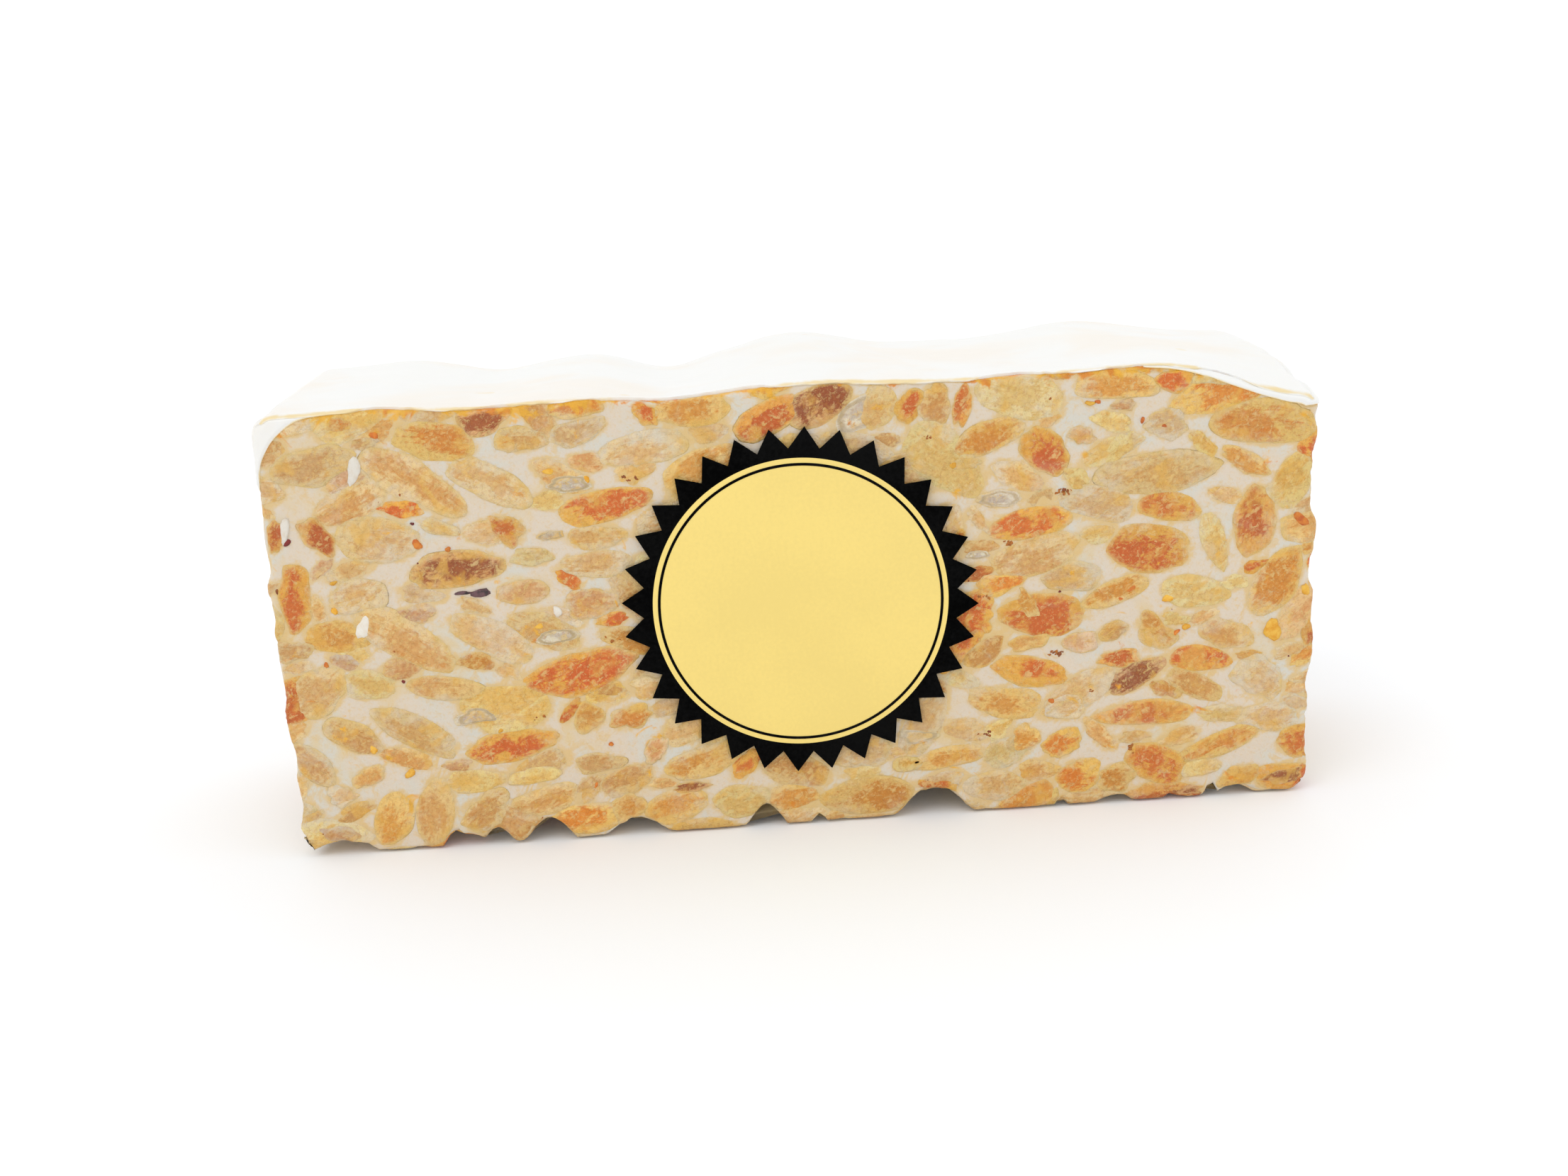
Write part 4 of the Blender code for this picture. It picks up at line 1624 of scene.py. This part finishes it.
# The bits that stand out on the front, by kind, in millimetres and degrees:
# place along X, height, half length, half width, tilt.
FRONT_CRUMBS: dict[Crumb, tuple] = {
    Crumb.YELLOW: (
        (94.2, 35, 2.3, 1.9, 70), (73.3, 43, 1.1, 0.9, 0), (77, 36.8, 0.8, 0.7, 0),
        (-80, 16.5, 1.2, 0.9, 40), (-86.5, 22.3, 1.3, 0.8, -60), (31, 72.6, 0.9, 0.6, 0),
        (58, 83.2, 1.0, 0.5, 0), (100.8, 43, 1.5, 0.8, 80), (-47.5, 76.2, 1.0, 0.7, 0),
        (-51.8, 45.4, 0.9, 0.6, 0),
    ),
    Crumb.ORANGE: (
        (-79.8, 85.1, 1.0, 0.6, -20), (-73.8, 63.4, 1.1, 0.9, -40), (66, 45.5, 1.5, 0.7, 30),
        (63.8, 43.6, 0.7, 0.5, 0), (75, 35.8, 0.8, 0.5, 30), (99.5, 57.5, 1.8, 1.2, -40),
        (-93.5, 40.2, 0.6, 0.5, 80), (72.5, 78, 0.9, 0.6, 0), (49.8, 23, 0.7, 0.6, 0),
        (22, 11.8, 0.9, 0.5, 10), (-68, 62, 0.6, 0.5, 0), (59.6, 83.4, 0.6, 0.4, 0),
    ),
    Crumb.BROWN: (
        (-54, 26.6, 1.5, 0.5, 0), (-31.8, 74, 1.6, 0.6, -8), (-37.6, 41.8, 1.6, 0.5, -5),
        (36.8, 45.6, 1.5, 0.5, -12), (52.6, 66, 1.7, 0.5, -8), (50.6, 33, 1.5, 0.5, -8),
        (35.6, 17.1, 1.6, 0.5, -8), (68.4, 28.4, 0.6, 0.9, 10), (58.6, 24.6, 1.0, 0.3, 0),
        (66.2, 11.2, 0.4, 1.2, 0), (-99, 5.4, 0.8, 0.7, 0), (-79.3, 42.3, 0.9, 0.7, -20),
        (-75.5, 73.6, 0.9, 0.8, -30), (49.6, 72, 1.1, 0.35, -50), (41.5, 56.4, 0.9, 0.4, 0),
        (26.3, 78.5, 0.9, 0.4, 0),
    ),
    Crumb.RED: (
        (-79.2, 35.8, 0.40, 0.36, 0), (-74.3, 67.5, 0.42, 0.32, 0), (-76.2, 80.8, 0.32, 0.26, 0),
        (51.7, 45.8, 0.28, 0.26, 0), (-98.3, 65.2, 0.9, 0.6, 50), (-82, 50.3, 0.3, 0.25, 0),
        (-80.3, 72.2, 0.25, 0.2, 0), (57.4, 34.2, 0.3, 0.25, 0), (97.4, 29.3, 0.3, 0.25, 0),
        (-100.4, 37.5, 0.25, 0.2, 0), (33.5, 49.2, 0.25, 0.25, 0), (58.8, 34.6, 0.25, 0.2, 0),
    ),
    # The two dark strips here are painted shade of a hollow in the cut face, not bits.
    Crumb.HOLLOW_SHADE: ((-62.6, 52.9, 2.3, 0.80, 3), (-66.0, 53.1, 1.7, 0.40, 3)),
    Crumb.WHITE: ((-84.3, 78.6, 3.0, 1.3, 72), (-85.6, 47.4, 2.8, 1.3, 75), (-98.5, 67.6, 2.6, 1.0, 80)),
}


@dataclass
class CrumbSet:
    """Loose bits pressed into the cut faces: small flattened lumps, half sunk."""

    form: BarForm
    kind: Crumb
    name: str
    scattered: int
    sizes: tuple
    seed: int
    bits: int = 1
    shake: float = 0.14
    rings: int = 5
    spokes: int = 12
    thick: float = 0.0006  # the most that half a bit's height may be
    sunk: float = 0.00040
    under: float = 0.00002  # all stays at least this far inside the bar's shape

    def places(self, draw: np.random.Generator) -> np.ndarray:
        """The chosen bits, then bits scattered over all four sides.

        Args:
            draw: the random numbers.
        Returns:
            along, tall, half length, half width and tilt, one row a bit.
        """
        chosen = np.array(FRONT_CRUMBS[self.kind])
        x, z = chosen[:, 0] * MM, chosen[:, 1] * MM
        rows = np.stack((x + self.form.length / 2, z, chosen[:, 2] * MM, chosen[:, 3] * MM,
                         np.radians(chosen[:, 4])), axis=1)
        if self.bits > 1:
            rows = self.broken(draw, rows)
        count = self.scattered
        half_length = draw.uniform(*self.sizes, count) * MM
        along = draw.uniform(0.0, self.form.girth, count)
        tall = draw.uniform(0.004, self.form.top - 0.002, count)
        half_width = half_length * draw.uniform(0.5, 0.9, count)
        tilt = draw.uniform(0.0, math.pi, count)
        return np.concatenate((rows, np.stack((along, tall, half_length, half_width, tilt), axis=1)))

    def broken(self, draw: np.random.Generator, rows: np.ndarray) -> np.ndarray:
        """Breaks each bit into several smaller ones that lie within its length and width.

        Args:
            draw: the random numbers.
            rows: the bits, as places gives them.
        Returns:
            The smaller bits.
        """
        rows = np.repeat(rows, self.bits, axis=0)
        u, w = draw.uniform(-1.0, 1.0, (2, len(rows))) * rows[:, 2:4].T
        cos, sin = np.cos(rows[:, 4]), np.sin(rows[:, 4])
        rows[:, 0] += u * cos - w * sin
        rows[:, 1] += u * sin + w * cos
        rows[:, 2] = draw.uniform(0.16, 0.46, len(rows)) * MM
        rows[:, 3] = rows[:, 2] * draw.uniform(0.5, 0.95, len(rows))
        rows[:, 4] = draw.uniform(0.0, math.pi, len(rows))
        return rows

    def build(self, finish: bpy.types.Material) -> None:
        """Makes the piece: each bit is a ball pressed flat, its radius shaken at random.

        The ball's height over the face is the cosine of the way from its pole, and its spread the sine.

        Args:
            finish: the crumbs' material.
        """
        draw = np.random.default_rng(self.seed)
        along, tall, half_length, half_width, tilt = self.places(draw).T[:, :, None, None]
        count, levels, spokes = len(along), self.rings + 2, self.spokes
        down = np.linspace(0.0, math.pi, levels)[None, :, None]
        turn = np.linspace(0.0, 2 * math.pi, spokes, endpoint=False)[None, None, :]
        shake = 1.0 + self.shake * draw.uniform(-1, 1, (count, levels, spokes))
        for waves in (2, 3):
            shake = shake + 0.12 * np.sin(waves * turn + draw.uniform(0, 6.28, (count, 1, 1)))
        u = half_length * np.sin(down) * np.cos(turn) * shake
        w = half_width * np.sin(down) * np.sin(turn) * shake
        s = along + u * np.cos(tilt) - w * np.sin(tilt)
        v = tall + u * np.sin(tilt) + w * np.cos(tilt)
        points, normals = self.form.surface_and_normal(s.ravel(), v.ravel())
        high = np.minimum(half_width, self.thick) * np.cos(down) + np.zeros_like(turn)
        lift = np.minimum((high - self.sunk).ravel(), -self.under)
        shell = (points + normals * lift[:, None]).reshape(count, levels, spokes, 3)
        points = np.concatenate((shell[:, 0, 0], shell[:, 1:-1].reshape(-1, 3), shell[:, -1, 0]))
        each = np.arange(count)
        owner = np.concatenate((each, np.repeat(each, self.rings * spokes), each))
        shade = draw.uniform(0.85, 1.12, (count, 1))
        light, dark = (np.tile(seen(*colour), (count, 1)) for colour in self.kind.value)
        light[:, :3] *= shade
        dark[:, :3] *= shade
        attributes = {"light": light[owner], "dark": dark[owner]}
        faces = ball_faces(count, self.rings, spokes)
        add_piece(self.name, points, faces, finish, "nougat_block", attributes)


# ---------------------------------------------------------------------------------------- the seal


@dataclass
class PaperSeal:
    """The round seal on the front: black toothed paper, a yellow field and a thin black ring on it."""

    form: BarForm
    x: float = 0.0
    z: float = 0.0470
    radius: float = 0.0352
    teeth: int = 32
    tooth: float = 0.0042
    turn: float = math.radians(-3.7)
    field_radius: float = 0.0294
    ring_radius: float = 0.0279
    ring_width: float = 0.00055
    gap: float = 0.0003  # between the front face and the paper's middle
    paper_sides: tuple = (-0.00025, 0.00030)  # where a layer's back and face stand, from that middle
    field_sides: tuple = (0.00010, 0.00035)
    ring_sides: tuple = (0.0002, 0.0004)
    points_a_tooth: int = 8
    shares: tuple = (0.25, 0.5, 0.7, 0.85, 0.96, 1.0)  # of the outline, for a plate's inner rings
    black: tuple = seen(8, 8, 8)
    yellow: tuple = seen(253, 226, 137)

    def toothed(self, share: np.ndarray) -> tuple[np.ndarray, np.ndarray]:
        """The toothed outline: straight lines between tips and notches, which take turns.

        Args:
            share: how far round, 0 to 1.
        Returns:
            Sideways and upward offsets.
        """
        corners = np.arange(2 * self.teeth + 1)
        radius = self.radius - self.tooth * (corners % 2)
        angle = math.pi * corners / self.teeth + self.turn
        at = share * 2 * self.teeth
        across, up = radius * np.cos(angle), radius * np.sin(angle)
        return np.interp(at, corners, across), np.interp(at, corners, up)

    def place(self, across: np.ndarray, up: np.ndarray, front: np.ndarray) -> np.ndarray:
        """Points of the seal from sideways, upward and forward offsets."""
        middle = -(self.form.depth / 2 + self.gap)
        return np.stack((self.x + across, middle - front, self.z + up), axis=-1).reshape(-1, 3)

    def plate(self, name: str, across: np.ndarray, up: np.ndarray, low: float, high: float,
              finish: bpy.types.Material) -> None:
        """A flat closed plate of any outline: rings from its middle, shrunk copies of the outline.

        Args:
            name: the piece's name.
            across, up: the outline.
            low, high: where its back and its face stand.
            finish: its material.
        """
        shares = np.array(self.shares)[:, None]
        round_off = np.where(shares >= 1.0, 0.25 * (high - low), 0.0)
        flat = np.zeros_like(shares * across)
        face = self.place(shares * across, shares * up, flat + high - round_off)
        rear = self.place(shares * across, shares * up, flat + low)
        poles = self.place(np.zeros(2), np.zeros(2), np.array([high, low]))
        spokes, rings = len(across), len(shares)
        points = np.concatenate((face, rear, poles))
        band = grid_faces(rings, spokes, True)
        spoke = np.arange(spokes)
        after = (spoke + 1) % spokes
        rear_start, pole = rings * spokes, 2 * rings * spokes
        outer = (rings - 1) * spokes
        rear_outer = rear_start + outer
        wall = np.stack((outer + spoke, rear_outer + spoke, rear_outer + after, outer + after), axis=1)
        tip = np.stack((np.full(spokes, pole), spoke, after), axis=1)
        foot = np.stack((np.full(spokes, pole + 1), rear_start + after, rear_start + spoke), axis=1)
        faces = [band[:, ::-1], band + rear_start, wall, tip, foot]
        add_piece(name, points, faces, finish, "paper_seal", sharp=40.0)

    def build(self) -> None:
        """Makes the three layers."""
        black = PaperFinish("seal_black", self.black, 0.0).build()
        yellow = PaperFinish("seal_yellow", self.yellow, 0.3).build()
        share = np.linspace(0.0, 1.0, self.teeth * self.points_a_tooth, endpoint=False)
        across, up = self.toothed(share)
        self.plate("seal_toothed_paper", across, up, *self.paper_sides, black)
        angle = 2 * math.pi * share
        across, up = self.field_radius * np.cos(angle), self.field_radius * np.sin(angle)
        self.plate("seal_field", across, up, *self.field_sides, yellow)
        self.ring(angle, black)

    def ring(self, angle: np.ndarray, finish: bpy.types.Material) -> None:
        """The thin ring: a rectangle carried round a circle.

        Args:
            angle: the places round the circle.
            finish: its material.
        """
        inner, outer = self.ring_radius - self.ring_width / 2, self.ring_radius + self.ring_width / 2
        low, high = self.ring_sides
        section = np.array([(inner, low), (inner, high), (outer, high), (outer, low)])
        across = section[:, 0, None] * np.cos(angle)
        up = section[:, 0, None] * np.sin(angle)
        points = self.place(across, up, section[:, 1, None] + 0.0 * across)
        spokes = len(angle)
        spoke = np.arange(spokes)
        after = (spoke + 1) % spokes
        seam = np.stack((3 * spokes + spoke, 3 * spokes + after, after, spoke), axis=1)
        faces = [grid_faces(4, spokes, True), seam]
        add_piece("seal_ring", points, faces, finish, "paper_seal", sharp=40.0)


# ------------------------------------------------------------------------------------------- studio


@dataclass
class Studio:
    """A white floor, a white room, a soft lamp, and the camera a little above the bar."""

    camera_place: tuple = (-0.0167, -0.3626, 0.1400)
    camera_yaw: float = -2.32
    camera_pitch: float = 15.09
    camera_roll: float = -2.98
    lens: float = 40.25
    sensor: float = 36.0
    room_light: float = 1.06
    floor_size: float = 60.0
    floor_height: float = -0.0002
    floor_white: tuple = (0.92, 0.94, 0.965)
    floor_glow: float = 0.02
    sun_direction: tuple = (-0.42, -0.50, 0.76)
    sun_spread: float = 32.0
    sun_light: float = 0.36

    def build(self) -> None:
        """Makes the stage."""
        self.floor()
        self.room()
        self.sun()
        self.camera()

    def floor(self) -> None:
        """A wide plain floor just under the bar's lowest almonds."""
        half, z = self.floor_size / 2, self.floor_height
        mesh = bpy.data.meshes.new("floor")
        mesh.from_pydata([(-half, -half, z), (half, -half, z), (half, half, z), (-half, half, z)],
                         [], [(0, 1, 2, 3)])
        white = (*self.floor_white, 1.0)
        mesh.materials.append(Shader("floor").dress(
            base_color=white,
            roughness=0.9,
            emission_color=white,
            emission_strength=self.floor_glow,
        ))
        floor = bpy.data.objects.new("floor", mesh)
        bpy.context.scene.collection.objects.link(floor)

    def room(self) -> None:
        """An even white surround, shown without any film-like tone curve."""
        world = bpy.data.worlds.new("white_room")
        world.use_nodes = True
        background = world.node_tree.nodes["Background"]
        background.inputs["Color"].default_value = (1.0, 1.0, 1.0, 1.0)
        background.inputs["Strength"].default_value = self.room_light
        bpy.context.scene.world = world
        bpy.context.scene.view_settings.view_transform = "Standard"

    def sun(self) -> None:
        """A wide soft light from above the bar's front left."""
        light = bpy.data.lights.new("soft_light", "SUN")
        light.energy = self.sun_light
        light.angle = math.radians(self.sun_spread)
        lamp = bpy.data.objects.new("soft_light", light)
        x, y, z = self.sun_direction
        lamp.rotation_euler = (math.atan2(math.hypot(x, y), z), 0.0, math.atan2(y, x) + math.pi / 2)
        bpy.context.scene.collection.objects.link(lamp)

    def camera(self) -> None:
        """The camera: turned by yaw about the upright, tipped down by pitch, rolled about its view."""
        data = bpy.data.cameras.new("camera")
        data.lens = self.lens
        data.sensor_width = self.sensor
        data.clip_start = 0.01
        camera = bpy.data.objects.new("camera", data)
        turn = Matrix.Rotation(math.radians(self.camera_yaw), 4, "Z")
        tip = Matrix.Rotation(math.radians(90.0 - self.camera_pitch), 4, "X")
        roll = Matrix.Rotation(math.radians(self.camera_roll), 4, "Z")
        camera.matrix_world = Matrix.Translation(self.camera_place) @ turn @ tip @ roll
        bpy.context.scene.collection.objects.link(camera)
        bpy.context.scene.camera = camera


def build_kernels(form: BarForm, layout: KernelLayout) -> None:
    """Builds the almonds in one piece for each side, so that no piece is too heavy.

    Args:
        form: the bar's shape.
        layout: where the almonds lie.
    """
    finish = AlmondFinish().build()
    back = form.length + form.depth
    names = ("almonds_front", "almonds_right", "almonds_back", "almonds_left", "almonds_foot")
    sides = {name: [] for name in names}
    for kernel in layout.kernels:
        along = kernel.along % form.girth
        if kernel.tall < 0.0:
            side = "almonds_foot"
        elif along < form.length:
            side = "almonds_front"
        elif along < back:
            side = "almonds_right"
        else:
            side = "almonds_back" if along < back + form.length else "almonds_left"
        sides[side].append(kernel)
    first_seed = 40
    for number, (name, kernels) in enumerate(sides.items()):
        log.info("%s: %d almonds", name, len(kernels))
        KernelSet(form, kernels, name, first_seed + number).build(finish)


def build_crumbs(form: BarForm) -> None:
    """Builds the loose bits, specks, the painted shade of small hollows, and drips of the cut faces.

    Args:
        form: the bar's shape.
    """
    crumb = CrumbFinish().build()
    CrumbSet(form, Crumb.YELLOW, "crumbs_yellow", 16, (0.4, 1.0), 61).build(crumb)
    CrumbSet(form, Crumb.ORANGE, "crumbs_orange", 14, (0.3, 0.7), 62).build(crumb)
    CrumbSet(form, Crumb.BROWN, "crumbs_brown", 25, (0.25, 0.6), 63, bits=16).build(crumb)
    CrumbSet(form, Crumb.RED, "specks_red", 70, (0.12, 0.28), 64).build(crumb)
    # Painted shade: dark lumps where the cut face has small hollows.
    CrumbSet(form, Crumb.HOLLOW_SHADE, "hollow_painted_shade", 3, (0.4, 0.9), 65).build(crumb)
    CrumbSet(form, Crumb.WHITE, "drips_white", 5, (0.8, 1.6), 66, shake=0.10).build(crumb)


def build_wafer(form: BarForm) -> None:
    """Builds the wafer: the lid and what of it wraps the two ends.

    Args:
        form: the bar's shape.
    """
    wafer = WaferFinish().build()
    WaferLid(form).build(wafer)
    left, right = form.corners[3], form.corners[1]
    fold = WaferFold(form, lines=160, rows=24, start=left, corner_reach=0.0135, hang=0.0130,
                     front_hang=0.0125)
    fold.build_fold("wafer_fold_left", 81, wafer)
    fold = WaferFold(form, lines=220, rows=24, start=right, corner_reach=0.0340, hang=0.0080,
                     front_hang=0.0018, steep=0.25)
    fold.build_fold("wafer_fold_right", 82, wafer)


def main() -> None:
    """Builds the studio and every piece of the bar."""
    logging.basicConfig(level=logging.INFO, format="%(message)s")
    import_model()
    Studio().build()
    form = BarForm()
    layout = KernelLayout(form)
    layout.lay()
    NougatBody(form, layout).build(NougatFinish().build())
    build_kernels(form, layout)
    build_crumbs(form)
    build_wafer(form)
    PaperSeal(form).build()


if __name__ == "__main__":
    main()
